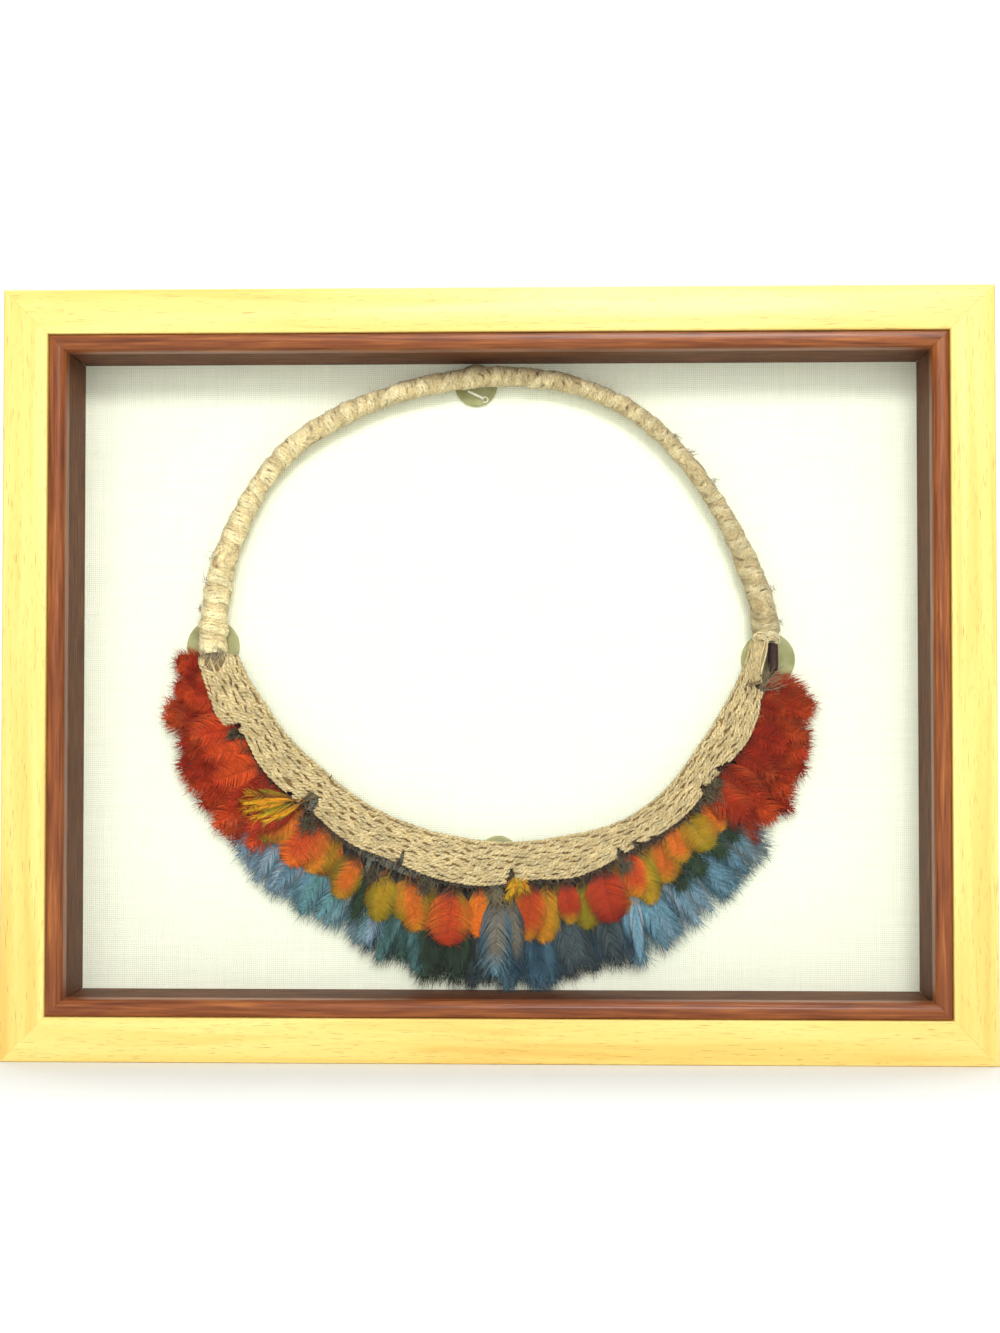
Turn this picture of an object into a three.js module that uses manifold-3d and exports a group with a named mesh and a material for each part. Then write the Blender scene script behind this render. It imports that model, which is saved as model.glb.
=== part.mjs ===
// Feathered headdress in a glazed wooden display box.
// Millimetres, +Z up, the glass facing -Y. Origin: middle of the box's underside.
// The headdress is a bound fibre hoop whose lower half carries a looped fibre crescent,
// with a front row of short orange feathers, a back row of longer blue ones, and red tufts
// at both ends. Pads hold it to a linen-covered board.

import * as THREE from "three";
import { mergeVertices } from "three/addons/utils/BufferGeometryUtils.js";
import Module from "manifold-3d";

const wasm = await Module();
wasm.setup();

// ---- driving dimensions ------------------------------------------------------------------

const GAP = 0.3; // between neighbouring pieces
const MITRE_GAP = 0.2; // half of the joint line between two mitred pieces

const BOX = { width: 380, height: 296.5, front: -21, back: 21 };
const RAIL_FACE = 17;
const LINER = { inset: RAIL_FACE + GAP, face: 6.2, front: -19.6, back: -12.3 };
const SPACER = { inset: RAIL_FACE + GAP, face: 5.4, front: -9.7, back: 16 };
const GLASS = { front: -12, back: -10 };
const LINEN = { front: 16.3, back: 18.2 };
const BACKING = { front: 18.5, back: 20.4 };

// The hoop and the crescent are laid out about one centre, by the angle from +X in degrees:
// 0 right, 90 top, 180 left, 270 bottom.
const CENTRE = { x: -5, z: 168 };

const HOOP = { y: 7.6, steps: 116, sides: 10, ridge: 0.07, ridgePitch: 9.5, lump: 0.06 };
const HOOP_PATH = [
  { angle: -2.4, radius: 111.0, tube: 5.9 },
  { angle: 4, radius: 109.6, tube: 5.2 },
  { angle: 14, radius: 106.0, tube: 4.6 },
  { angle: 26, radius: 103.7, tube: 3.7 },
  { angle: 40, radius: 102.9, tube: 3.6 },
  { angle: 54, radius: 103.3, tube: 3.8 },
  { angle: 66, radius: 102.3, tube: 3.7 },
  { angle: 78, radius: 100.6, tube: 3.8 },
  { angle: 90, radius: 99.0, tube: 4.3 },
  { angle: 102, radius: 98.4, tube: 4.2 },
  { angle: 114, radius: 99.6, tube: 3.9 },
  { angle: 126, radius: 102.0, tube: 4.3 },
  { angle: 138, radius: 105.2, tube: 4.2 },
  { angle: 150, radius: 106.2, tube: 4.2 },
  { angle: 160, radius: 106.6, tube: 4.9 },
  { angle: 170, radius: 107.4, tube: 5.4 },
  { angle: 180, radius: 108.2, tube: 6.0 },
  { angle: 185.8, radius: 109.1, tube: 6.0 },
];

const CORE_END = { x: 108.6, y: 6.8, low: 149.8, high: 160.8, radius: 2.3, sides: 10 };

// Crescent: inner and outer radius along it, a roll over the core at the inner edge and a
// flat flap from there to the outer edge.
const BAND = { start: 186.5, end: 357, step: 2.4, front: 2.6, flapBack: 6.6, rollBack: 11.4 };
const BAND_EDGES = [
  { angle: 186, inner: 99.6, outer: 114.4 },
  { angle: 193, inner: 97.0, outer: 113.0 },
  { angle: 200, inner: 93.2, outer: 111.4 },
  { angle: 204, inner: 92.1, outer: 105.2 },
  { angle: 212, inner: 89.6, outer: 105.0 },
  { angle: 220, inner: 86.9, outer: 102.6 },
  { angle: 228, inner: 85.8, outer: 100.3 },
  { angle: 237, inner: 85.2, outer: 101.2 },
  { angle: 248, inner: 84.5, outer: 99.6 },
  { angle: 260, inner: 84.7, outer: 101.6 },
  { angle: 270, inner: 85.8, outer: 102.6 },
  { angle: 280, inner: 87.3, outer: 101.6 },
  { angle: 291, inner: 89.5, outer: 105.4 },
  { angle: 303, inner: 94.0, outer: 105.2 },
  { angle: 316, inner: 96.4, outer: 108.4 },
  { angle: 328, inner: 96.8, outer: 108.8 },
  { angle: 337, inner: 98.7, outer: 113.0 },
  { angle: 346, inner: 101.8, outer: 112.4 },
  { angle: 350, inner: 103.6, outer: 109.6 },
  { angle: 357, inner: 105.6, outer: 110.6 },
];
const BAND_NOTCHES = [
  { angle: 202, depth: 5.5, halfWidth: 0.8 },
  { angle: 224.4, depth: 2.6, halfWidth: 0.7 },
  { angle: 250.2, depth: 6.2, halfWidth: 0.5 },
  { angle: 276, depth: 6.0, halfWidth: 1.0 },
  { angle: 300.6, depth: 2.8, halfWidth: 0.8 },
  { angle: 323.2, depth: 4.4, halfWidth: 0.7 },
  { angle: 347.2, depth: 3.8, halfWidth: 0.8 },
];

// Feather layers. front is the face of the nearest vanes, and each layer has a few depths,
// so that neighbouring vanes pass one another. Their roots lie between rootFront and rootBack,
// behind the crescent. tips is the reach from the centre.
const LAYERS = {
  flame: {
    colour: 0xd8661c,
    rootFront: 7,
    rootBack: 8.5,
    front: 5.7,
    depths: [0, 1.5],
    thick: 1.1,
    pitch: 4.2,
    width: 11.5,
    spread: 2,
    tips: [
      { angle: 216, reach: 122 },
      { angle: 236, reach: 120.5 },
      { angle: 250, reach: 125 },
      { angle: 264, reach: 127.5 },
      { angle: 272, reach: 121.5 },
      { angle: 280, reach: 126.5 },
      { angle: 294, reach: 127 },
      { angle: 302, reach: 126 },
      { angle: 310, reach: 120 },
      { angle: 323, reach: 125 },
    ],
  },
  blue: {
    colour: 0x5f86a8,
    rootFront: 9,
    rootBack: 13.4,
    front: 9.2,
    depths: [0, 1.5, 3],
    thick: 1.1,
    pitch: 2.6,
    width: 9.5,
    spread: 5,
    tips: [
      { angle: 222, reach: 137 },
      { angle: 236, reach: 135.8 },
      { angle: 250, reach: 137.5 },
      { angle: 262, reach: 142.5 },
      { angle: 276, reach: 145 },
      { angle: 285, reach: 142.8 },
      { angle: 294, reach: 146.5 },
      { angle: 310, reach: 145 },
      { angle: 323, reach: 142.5 },
    ],
  },
  red: {
    colour: 0xb0301c,
    rootFront: 7,
    rootBack: 12.4,
    front: 4.8,
    depths: [0, 2.4, 4.8],
    thick: 1.8,
    pitch: 2.3,
    width: 12,
    spread: 9,
    tips: [
      { angle: 186, reach: 122 },
      { angle: 192, reach: 131 },
      { angle: 203, reach: 138 },
      { angle: 215, reach: 134.5 },
      { angle: 223, reach: 133.5 },
      { angle: 322, reach: 138 },
      { angle: 328, reach: 141.5 },
      { angle: 336, reach: 139.5 },
      { angle: 344, reach: 134 },
      { angle: 350, reach: 128 },
    ],
  },
};
const FEATHER_GROUPS = [
  { name: "red_feathers_left", layer: "red", from: 187, to: 222.6 },
  { name: "red_feathers_right", layer: "red", from: 322.8, to: 348.4 },
  { name: "flame_feathers_1", layer: "flame", from: 222.9, to: 247.9 },
  { name: "flame_feathers_2", layer: "flame", from: 248.2, to: 272.9 },
  { name: "flame_feathers_3", layer: "flame", from: 273.2, to: 297.9 },
  { name: "flame_feathers_4", layer: "flame", from: 298.2, to: 322.5 },
  { name: "blue_feathers_1", layer: "blue", from: 222.9, to: 247.9 },
  { name: "blue_feathers_2", layer: "blue", from: 248.2, to: 272.9 },
  { name: "blue_feathers_3", layer: "blue", from: 273.2, to: 297.9 },
  { name: "blue_feathers_4", layer: "blue", from: 298.2, to: 322.5 },
];
const BINDING = { fromEdge: 3.2, width: 2.4, step: 4 }; // strip that holds the quills
const CAMBER = 0.5; // how far a vane's middle stands forward of its ends

const PAD = { front: 14.3, back: 16, sides: 28 };
const PADS = [
  { name: "mounting_pad_left", x: -114.8, z: 160, radius: 10.6 },
  { name: "mounting_pad_right", x: 107.6, z: 154.6, radius: 10.7 },
  { name: "mounting_pad_top", x: -9, z: 265, radius: 8.5 },
  { name: "mounting_pad_bottom", x: 0, z: 76, radius: 8.2 },
];

// ---- helpers -----------------------------------------------------------------------------

const radians = THREE.MathUtils.degToRad;

/** A point of the hoop's layout. */
function polar(angle, radius, y) {
  const turn = radians(angle);
  return new THREE.Vector3(CENTRE.x + radius * Math.cos(turn), y, CENTRE.z + radius * Math.sin(turn));
}

/** Smooth value of a column between the rows of a table that is sorted by angle. */
function sample(rows, column, angle) {
  const last = rows.length - 1;
  const at = THREE.MathUtils.clamp(angle, rows[0].angle, rows[last].angle);
  const i = Math.min(last - 1, rows.findLastIndex((row) => row.angle <= at));
  const before = rows[Math.max(0, i - 1)];
  const [a, b] = [rows[i], rows[i + 1]];
  const after = rows[Math.min(last, i + 2)];
  const span = b.angle - a.angle;
  const slope = (p, q) => ((q[column] - p[column]) / (q.angle - p.angle)) * span;
  const t = (at - a.angle) / span;
  const [t2, t3] = [t * t, t * t * t];
  return (
    (2 * t3 - 3 * t2 + 1) * a[column] +
    (t3 - 2 * t2 + t) * slope(before, b) +
    (-2 * t3 + 3 * t2) * b[column] +
    (t3 - t2) * slope(a, after)
  );
}

/** Repeatable number from -1 to 1 for a whole number. */
function scatter(n) {
  const wave = Math.sin(n * 12.9898 + 4.137) * 43758.5453;
  return 2 * (wave - Math.floor(wave)) - 1;
}

/** Closed body through rings of the same number of points. outline is a ring's flat shape. */
function loft(rings, outline) {
  const sides = outline.length;
  const triangles = [];
  for (let r = 0; r + 1 < rings.length; r++) {
    for (let s = 0; s < sides; s++) {
      const [a, b] = [r * sides + s, r * sides + ((s + 1) % sides)];
      triangles.push([a, b, a + sides], [b, b + sides, a + sides]);
    }
  }
  const top = (rings.length - 1) * sides;
  for (const [a, b, c] of THREE.ShapeUtils.triangulateShape(outline, [])) {
    triangles.push([c, b, a], [top + a, top + b, top + c]);
  }
  const points = rings.flat();
  const volume = triangles.reduce(
    (sum, [a, b, c]) => sum + points[a].dot(points[b].clone().cross(points[c])),
    0,
  );
  const index = triangles.flatMap((t) => (volume < 0 ? [t[0], t[2], t[1]] : t));
  const geometry = new THREE.BufferGeometry().setFromPoints(points);
  geometry.setIndex(index);
  return geometry;
}

function toSolid(geometry) {
  const bare = geometry.clone();
  bare.deleteAttribute("normal");
  bare.deleteAttribute("uv");
  const merged = mergeVertices(bare, 1e-4);
  return new wasm.Manifold(
    new wasm.Mesh({
      numProp: 3,
      vertProperties: new Float32Array(merged.attributes.position.array),
      triVerts: new Uint32Array(merged.index.array),
    }),
  );
}

function fromSolid(solid) {
  const mesh = solid.getMesh();
  const geometry = new THREE.BufferGeometry();
  geometry.setAttribute("position", new THREE.BufferAttribute(mesh.vertProperties, 3));
  geometry.setIndex(new THREE.BufferAttribute(mesh.triVerts, 1));
  return geometry;
}

function finish(colour, roughness, extra = {}) {
  return new THREE.MeshStandardMaterial({ color: colour, roughness, metalness: 0, ...extra });
}

const WOOD = finish(0xf4dc8e, 0.45);
const STAINED_WOOD = finish(0x7a3d20, 0.35);
const DARK_CARD = finish(0x4b2f22, 0.85);
const CLEAR_GLASS = finish(0xeef6f4, 0.05, { transparent: true, opacity: 0.15 });
const WHITE_LINEN = finish(0xf4f6ee, 0.95);
const BOARD = finish(0xb08d62, 0.85);
const PAD_PLASTIC = finish(0xc3cc9c, 0.5);
const BOUND_FIBRE = finish(0xd4bf92, 0.9);
const LOOPED_FIBRE = finish(0xd9bf86, 0.9);
const DARK_CANE = finish(0x3b241b, 0.7);

const model = new THREE.Group();

function add(name, geometry, material) {
  const mesh = new THREE.Mesh(geometry, material);
  mesh.name = name;
  model.add(mesh);
  return mesh;
}

// ---- display box -------------------------------------------------------------------------

/** Bar with mitred ends. profile is [inward, y] pairs, and its outer edge lies along X. */
function mitredBar(length, profile) {
  const end = (side) =>
    profile.map(([inward, y]) => new THREE.Vector3(side * (length / 2 - inward - MITRE_GAP), y, inward));
  return loft([end(-1), end(1)], profile.map(([inward, y]) => new THREE.Vector2(inward, y)));
}

/** Four mitred bars round an opening, at an inset from the box's outside. */
function mitredFrame(prefix, inset, profile, material) {
  const [width, height] = [BOX.width - 2 * inset, BOX.height - 2 * inset];
  const middle = BOX.height / 2;
  const sides = [
    { name: "bottom", length: width, x: 0, z: inset, turn: 0 },
    { name: "top", length: width, x: 0, z: BOX.height - inset, turn: 180 },
    { name: "left", length: height, x: -width / 2, z: middle, turn: 90 },
    { name: "right", length: height, x: width / 2, z: middle, turn: -90 },
  ];
  for (const side of sides) {
    const bar = add(`${prefix}_${side.name}`, mitredBar(side.length, profile), material);
    bar.position.set(side.x, 0, side.z);
    bar.rotation.y = radians(side.turn);
  }
}

/** Flat panel that fills the space between the rails. */
function panel(name, { front, back }, material) {
  const inside = 2 * (RAIL_FACE + GAP);
  const geometry = new THREE.BoxGeometry(BOX.width - inside, back - front, BOX.height - inside);
  add(name, geometry, material).position.set(0, (front + back) / 2, BOX.height / 2);
}

function squareProfile(face, front, back) {
  return [
    [0, front],
    [face, front],
    [face, back],
    [0, back],
  ];
}

mitredFrame("rail", 0, squareProfile(RAIL_FACE, BOX.front, BOX.back), WOOD);

const linerProfile = [
  [0, LINER.front + 0.6],
  [LINER.face * 0.2, LINER.front],
  [LINER.face * 0.7, LINER.front + 0.4],
  [LINER.face * 0.92, LINER.front + 1.8],
  [LINER.face, LINER.front + 3.6],
  [LINER.face, LINER.back],
  [0, LINER.back],
];
mitredFrame("liner", LINER.inset, linerProfile, STAINED_WOOD);
mitredFrame("spacer", SPACER.inset, squareProfile(SPACER.face, SPACER.front, SPACER.back), DARK_CARD);

panel("glass_pane", GLASS, CLEAR_GLASS);
panel("linen_board", LINEN, WHITE_LINEN);
panel("back_panel", BACKING, BOARD);

for (const pad of PADS) {
  const geometry = new THREE.CylinderGeometry(pad.radius, pad.radius, PAD.back - PAD.front, PAD.sides);
  add(pad.name, geometry, PAD_PLASTIC).position.set(pad.x, (PAD.front + PAD.back) / 2, pad.z);
}

// ---- bound hoop --------------------------------------------------------------------------

/** The binding's radius: its own thickness, the spiral ridge of the turns, and slight lumps. */
function boundRadius(angle, round, length, step) {
  const tube = sample(HOOP_PATH, "tube", angle);
  const ridge = Math.sin(2 * Math.PI * (length / HOOP.ridgePitch) + round);
  return tube * (1 + HOOP.ridge * ridge + HOOP.lump * scatter(step * HOOP.sides + Math.round(round)));
}

function hoopWrap() {
  const [from, to] = [HOOP_PATH[0].angle, HOOP_PATH.at(-1).angle];
  const rings = [];
  let length = 0;
  for (let i = 0; i <= HOOP.steps; i++) {
    const angle = THREE.MathUtils.lerp(from, to, i / HOOP.steps);
    const on = (a) => polar(a, sample(HOOP_PATH, "radius", a), HOOP.y);
    const centre = on(angle);
    const along = on(angle + 0.2).sub(on(angle - 0.2)).normalize();
    const out = new THREE.Vector3(along.z, 0, -along.x);
    length += i ? centre.distanceTo(on(angle - (to - from) / HOOP.steps)) : 0;
    const ring = [];
    for (let s = 0; s < HOOP.sides; s++) {
      const round = (2 * Math.PI * s) / HOOP.sides;
      const radius = boundRadius(angle, round, length, i);
      const across = out.clone().multiplyScalar(radius * Math.cos(round));
      ring.push(centre.clone().add(across).add(new THREE.Vector3(0, radius * Math.sin(round), 0)));
    }
    rings.push(ring);
  }
  const outline = Array.from({ length: HOOP.sides }, (_, s) => {
    const round = (2 * Math.PI * s) / HOOP.sides;
    return new THREE.Vector2(Math.cos(round), Math.sin(round));
  });
  return loft(rings, outline);
}
add("hoop_wrap", hoopWrap(), BOUND_FIBRE);

const core = new THREE.CylinderGeometry(
  CORE_END.radius,
  CORE_END.radius,
  CORE_END.high - CORE_END.low,
  CORE_END.sides,
);
const coreEnd = add("hoop_core_end", core, DARK_CANE);
coreEnd.position.set(CORE_END.x, CORE_END.y, (CORE_END.low + CORE_END.high) / 2);
coreEnd.rotation.x = radians(90);

// ---- looped crescent ---------------------------------------------------------------------

/** Outer edge of the crescent, with its small notches. */
function bandOuter(angle) {
  const cut = BAND_NOTCHES.reduce((deepest, notch) => {
    const off = Math.abs(angle - notch.angle) / notch.halfWidth;
    return Math.max(deepest, notch.depth * Math.max(0, 1 - off));
  }, 0);
  return sample(BAND_EDGES, "outer", angle) - cut;
}

/** Section across the crescent as [part of the width, y]: the flap's ribs, then the roll's back. */
function bandSection(step) {
  const rib = 0.35 * scatter(step);
  const { front, flapBack, rollBack } = BAND;
  return [
    [0, 7],
    [0.05, front + 1.8],
    [0.2, front],
    [0.36, front + 1.3 + rib],
    [0.5, front + 0.5 - rib],
    [0.64, front + 1.2 + rib],
    [0.8, front + 0.7 - rib],
    [0.94, front + 1.1],
    [1, front + 2.4],
    [0.97, flapBack],
    [0.5, flapBack + 0.2],
    [0.42, rollBack - 1.6],
    [0.24, rollBack],
    [0.06, rollBack - 1.8],
  ];
}

function wovenBand() {
  const angles = [];
  for (let a = BAND.start; a < BAND.end; a += BAND.step) angles.push(a);
  angles.push(BAND.end);
  for (const { angle, halfWidth } of BAND_NOTCHES) angles.push(angle - halfWidth, angle, angle + halfWidth);
  angles.sort((a, b) => a - b);
  const spaced = angles.filter((a, i) => i === 0 || a - angles[i - 1] > 0.05);
  const rings = spaced.map((angle, step) => {
    const inner = sample(BAND_EDGES, "inner", angle);
    const width = bandOuter(angle) - inner;
    return bandSection(step).map(([part, y]) => polar(angle, inner + part * width, y));
  });
  return loft(rings, bandSection(0).map(([part, y]) => new THREE.Vector2(part * 15, y)));
}
add("woven_band", wovenBand(), LOOPED_FIBRE);

// ---- feathers ----------------------------------------------------------------------------

/** One vane: a thin leaf from its root in the binding to its tip, bulging a little forward. */
function vane(from, to, width, thick) {
  const along = to.clone().sub(from).setY(0);
  const side = new THREE.Vector3(-along.z, 0, along.x).normalize();
  const stations = [
    { part: 0, half: 0.16 },
    { part: 0.13, half: 0.26 },
    { part: 0.34, half: 0.42 },
    { part: 0.65, half: 0.5 },
    { part: 0.9, half: 0.42 },
    { part: 1, half: 0.2 },
  ];
  const outline = [
    [1, 0],
    [0, 0.5],
    [-1, 0],
    [0, -0.5],
  ];
  const rings = stations.map(({ part, half }) => {
    const middle = from.clone().addScaledVector(along, part);
    middle.y = THREE.MathUtils.lerp(from.y, to.y, THREE.MathUtils.smoothstep(part, 0.13, 0.34));
    middle.y -= part > 0.2 ? CAMBER * Math.sin(Math.PI * part) : 0;
    const body = thick * (1 - 0.55 * part);
    return outline.map(([across, depth]) =>
      middle.clone().addScaledVector(side, across * half * width).add(new THREE.Vector3(0, depth * body, 0)),
    );
  });
  return loft(rings, outline.map(([across, depth]) => new THREE.Vector2(across, depth)));
}

/** Strip behind the crescent's edge that all quills of a group are bound into. */
function bindingStrip(layer, from, to) {
  const count = Math.ceil((to - from) / BINDING.step);
  const corners = [
    [0, layer.rootFront],
    [BINDING.width, layer.rootFront],
    [BINDING.width, layer.rootBack],
    [0, layer.rootBack],
  ];
  const rings = [];
  for (let i = 0; i <= count; i++) {
    const angle = THREE.MathUtils.lerp(from, to, i / count);
    const inner = sample(BAND_EDGES, "outer", angle) - BINDING.fromEdge;
    rings.push(corners.map(([out, y]) => polar(angle, inner + out, y)));
  }
  return loft(rings, corners.map(([out, y]) => new THREE.Vector2(out, y)));
}

/** Wedge of the layout between two angles, deep enough to hold every feather. */
function sector(from, to) {
  const corners = [
    [30, 0],
    [170, 0],
    [170, BOX.back],
    [30, BOX.back],
  ];
  const rings = [from, (from + to) / 2, to].map((angle) =>
    corners.map(([radius, y]) => polar(angle, radius, y)),
  );
  return toSolid(loft(rings, corners.map(([radius, y]) => new THREE.Vector2(radius, y))));
}

function featherGroup({ layer: layerName, from, to }) {
  const layer = LAYERS[layerName];
  const count = Math.round((to - from) / layer.pitch);
  let solid = toSolid(bindingStrip(layer, from, to));
  for (let i = 0; i < count; i++) {
    const angle = from + ((i + 0.5) * (to - from)) / count;
    const seed = Math.round(angle * 10);
    const turn = i % layer.depths.length;
    const y = layer.front + layer.thick / 2 + layer.depths[turn];
    const [near, far] = [layer.rootFront + layer.thick / 2, layer.rootBack - layer.thick / 2];
    const rootY = THREE.MathUtils.lerp(near, far, turn / (layer.depths.length - 1));
    const rootRadius = sample(BAND_EDGES, "outer", angle) - BINDING.fromEdge + 1;
    const root = polar(angle, rootRadius, rootY);
    const tipAngle = angle + (layer.spread / 2) * scatter(seed);
    const reach = sample(layer.tips, "reach", angle) - (1 - scatter(seed + 1)) * 1.5;
    const width = layer.width * (1 + 0.12 * scatter(seed + 2));
    solid = solid.add(toSolid(vane(root, polar(tipAngle, reach, y), width, layer.thick)));
  }
  return fromSolid(solid.intersect(sector(from, to)));
}

for (const group of FEATHER_GROUPS) {
  add(group.name, featherGroup(group), finish(LAYERS[group.layer].colour, 0.8));
}

export default model;
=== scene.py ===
"""Feathered headdress in a glazed wooden display box: the looks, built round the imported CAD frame.

Lengths are in millimetres until a mesh is made, and angles are in degrees round the hoop's centre:
0 right, 90 top, 180 left, 270 bottom.
"""

import math

import bpy
import numpy as np
from mathutils import Euler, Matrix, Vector


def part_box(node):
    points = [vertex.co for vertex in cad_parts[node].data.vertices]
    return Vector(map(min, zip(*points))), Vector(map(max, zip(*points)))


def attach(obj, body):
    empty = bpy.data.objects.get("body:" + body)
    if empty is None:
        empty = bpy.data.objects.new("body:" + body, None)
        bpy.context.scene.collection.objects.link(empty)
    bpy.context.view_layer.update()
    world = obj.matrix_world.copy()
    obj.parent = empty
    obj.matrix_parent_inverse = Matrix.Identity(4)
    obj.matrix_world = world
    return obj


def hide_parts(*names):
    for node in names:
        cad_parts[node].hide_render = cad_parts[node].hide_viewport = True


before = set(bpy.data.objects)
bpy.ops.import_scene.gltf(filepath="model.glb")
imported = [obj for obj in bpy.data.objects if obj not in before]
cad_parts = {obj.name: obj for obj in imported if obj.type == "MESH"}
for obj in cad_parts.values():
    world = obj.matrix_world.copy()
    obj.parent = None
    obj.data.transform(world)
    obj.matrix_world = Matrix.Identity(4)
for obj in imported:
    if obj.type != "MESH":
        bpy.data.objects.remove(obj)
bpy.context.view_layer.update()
bpy.ops.object.select_all(action="DESELECT")

MM = 0.001
METRE = 1 / MM  # in mm, for patterns counted by the metre
CENTRE = np.array([-5.0, 168.0])  # X and Z of the point that hoop and crescent are laid out about
TO_BACK = np.array([0, 1.0, 0])  # away from the viewer

# ---- camera ------------------------------------------------------------------------------

camera = bpy.data.objects.new("camera", bpy.data.cameras.new("camera"))
bpy.context.scene.collection.objects.link(camera)
camera.location = (0.0204, -0.7219, 0.134)
LOOKS_UP, LOOKS_LEFT = 1.39, 1.54  # degrees
camera.rotation_euler = Euler((math.radians(90 + LOOKS_UP), 0, math.radians(LOOKS_LEFT)))
camera.data.lens = 49.7
camera.data.sensor_width = 36
camera.data.clip_start = 0.01
camera.data.clip_end = 50
bpy.context.scene.camera = camera
bpy.context.scene.view_settings.view_transform = "Standard"

# ---- small helpers -----------------------------------------------------------------------


def linear(hex_colour):
    """An sRGB hex colour as linear red, green and blue."""
    parts = [int(hex_colour[i : i + 2], 16) / 255 for i in (1, 3, 5)]
    return tuple(p / 12.92 if p <= 0.04045 else ((p + 0.055) / 1.055) ** 2.4 for p in parts)


def rgba(hex_colour):
    return (*linear(hex_colour), 1.0)


def smooth(low, high, value):
    """0 below low, 1 above high, and an easy curve between."""
    t = np.clip((value - low) / (high - low), 0, 1)
    return t * t * (3 - 2 * t)


def unit(vectors):
    """Vectors brought to length 1, along the last axis."""
    return vectors / (np.linalg.norm(vectors, axis=-1, keepdims=True) + 1e-9)


def blend(one, other, share):
    """Colours mixed by a share per point."""
    share = np.asarray(share)[..., None]
    return np.asarray(one) * (1 - share) + np.asarray(other) * share


def wander(seed, along, period):
    """A smooth repeatable wave between about -1 and 1, never quite regular."""
    rng = np.random.default_rng(seed)
    total = 0
    for k in (1.0, 1.7, 2.9):
        total = total + np.sin(2 * np.pi * k * along / period + rng.uniform(0, 6.28)) / k
    return total / 1.5


def polar(angle, radius, y):
    """Points of the hoop's layout, one row each."""
    turn = np.radians(angle)
    x = CENTRE[0] + radius * np.cos(turn)
    z = CENTRE[1] + radius * np.sin(turn)
    return np.stack(np.broadcast_arrays(x, y, z), axis=-1)


def node_points(name):
    """Corners of a CAD node in mm."""
    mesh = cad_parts[name].data
    flat = np.empty(len(mesh.vertices) * 3)
    mesh.vertices.foreach_get("co", flat)
    return flat.reshape(-1, 3) / MM


class Edges:
    """Inner and outer radius of a CAD node along the hoop, smoothed over a few degrees."""

    def __init__(self, name, low, high, window, step=1.2):
        points = node_points(name)
        offset = points[:, [0, 2]] - CENTRE
        angle = (np.degrees(np.arctan2(offset[:, 1], offset[:, 0])) - low) % 360 + low
        radius = np.hypot(offset[:, 0], offset[:, 1])
        self.at = np.arange(low, high + step, step)
        rows = [radius[np.abs(angle - a) < window] for a in self.at]
        self.inner = np.array([r.min() if len(r) else np.nan for r in rows])
        self.outer = np.array([r.max() if len(r) else np.nan for r in rows])
        for side in (self.inner, self.outer):
            empty = np.isnan(side)
            side[empty] = np.interp(self.at[empty], self.at[~empty], side[~empty])

    def soften(self, reach):
        """Both edges averaged over reach steps each way."""
        kernel = np.hanning(2 * reach + 3)[1:-1]
        kernel /= kernel.sum()
        for side in (self.inner, self.outer):
            side[:] = np.convolve(np.pad(side, reach, mode="edge"), kernel, mode="valid")
        return self

    def inside(self, angle):
        return np.interp(angle, self.at, self.inner)

    def outside(self, angle):
        return np.interp(angle, self.at, self.outer)


class Heap:
    """Many small closed shapes gathered into one mesh, with a tint and a place in the atlas."""

    def __init__(self):
        self.points, self.faces, self.tints, self.spots = [], [], [], []
        self.count = 0

    def add(self, points, faces, tint, spot=None):
        """points are rows of X, Y and Z in any array, faces four corners each (a triangle repeats
        its last one), tint one colour or one a point, and spot a place in the atlas a point."""
        points = np.reshape(points, (-1, 3))
        self.points.append(points)
        self.faces.append(faces + self.count)
        self.tints.append(np.broadcast_to(np.reshape(tint, (-1, 3)), points.shape))
        self.spots.append(np.zeros((len(points), 2)) if spot is None else np.reshape(spot, (-1, 2)))
        self.count += len(points)


def make_piece(name, heap, material, slot, *nodes):
    """The heap as one mesh object that rides on the body and stands for the CAD nodes."""
    points = np.concatenate(heap.points) * MM
    quads = np.concatenate(heap.faces)
    single = quads[:, 3] == quads[:, 2]
    corners = np.where(single, 3, 4)
    keep = np.ones(quads.shape, bool)
    keep[single, 3] = False
    loops = quads[keep]
    mesh = bpy.data.meshes.new(name)
    mesh.vertices.add(len(points))
    mesh.vertices.foreach_set("co", points.astype(np.float32).ravel())
    mesh.loops.add(len(loops))
    mesh.loops.foreach_set("vertex_index", loops.astype(np.int32))
    mesh.polygons.add(len(quads))
    starts = np.concatenate([[0], np.cumsum(corners)[:-1]])
    mesh.polygons.foreach_set("loop_start", starts.astype(np.int32))
    mesh.polygons.foreach_set("use_smooth", np.ones(len(quads), bool))
    tint = mesh.color_attributes.new("tint", "FLOAT_COLOR", "POINT")
    colours = np.concatenate([np.concatenate(heap.tints), np.ones((len(points), 1))], axis=1)
    tint.data.foreach_set("color", colours.astype(np.float32).ravel())
    spots = np.concatenate(heap.spots)
    if spots.any():
        layer = mesh.uv_layers.new(name="OFBake")
        layer.data.foreach_set("uv", spots[loops].astype(np.float32).ravel())
    mesh.update()
    mesh.validate()
    piece = bpy.data.objects.new(name, mesh)
    bpy.context.scene.collection.objects.link(piece)
    mesh.materials.append(material)
    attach(piece, "root")
    if nodes:
        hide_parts(*nodes)


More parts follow.
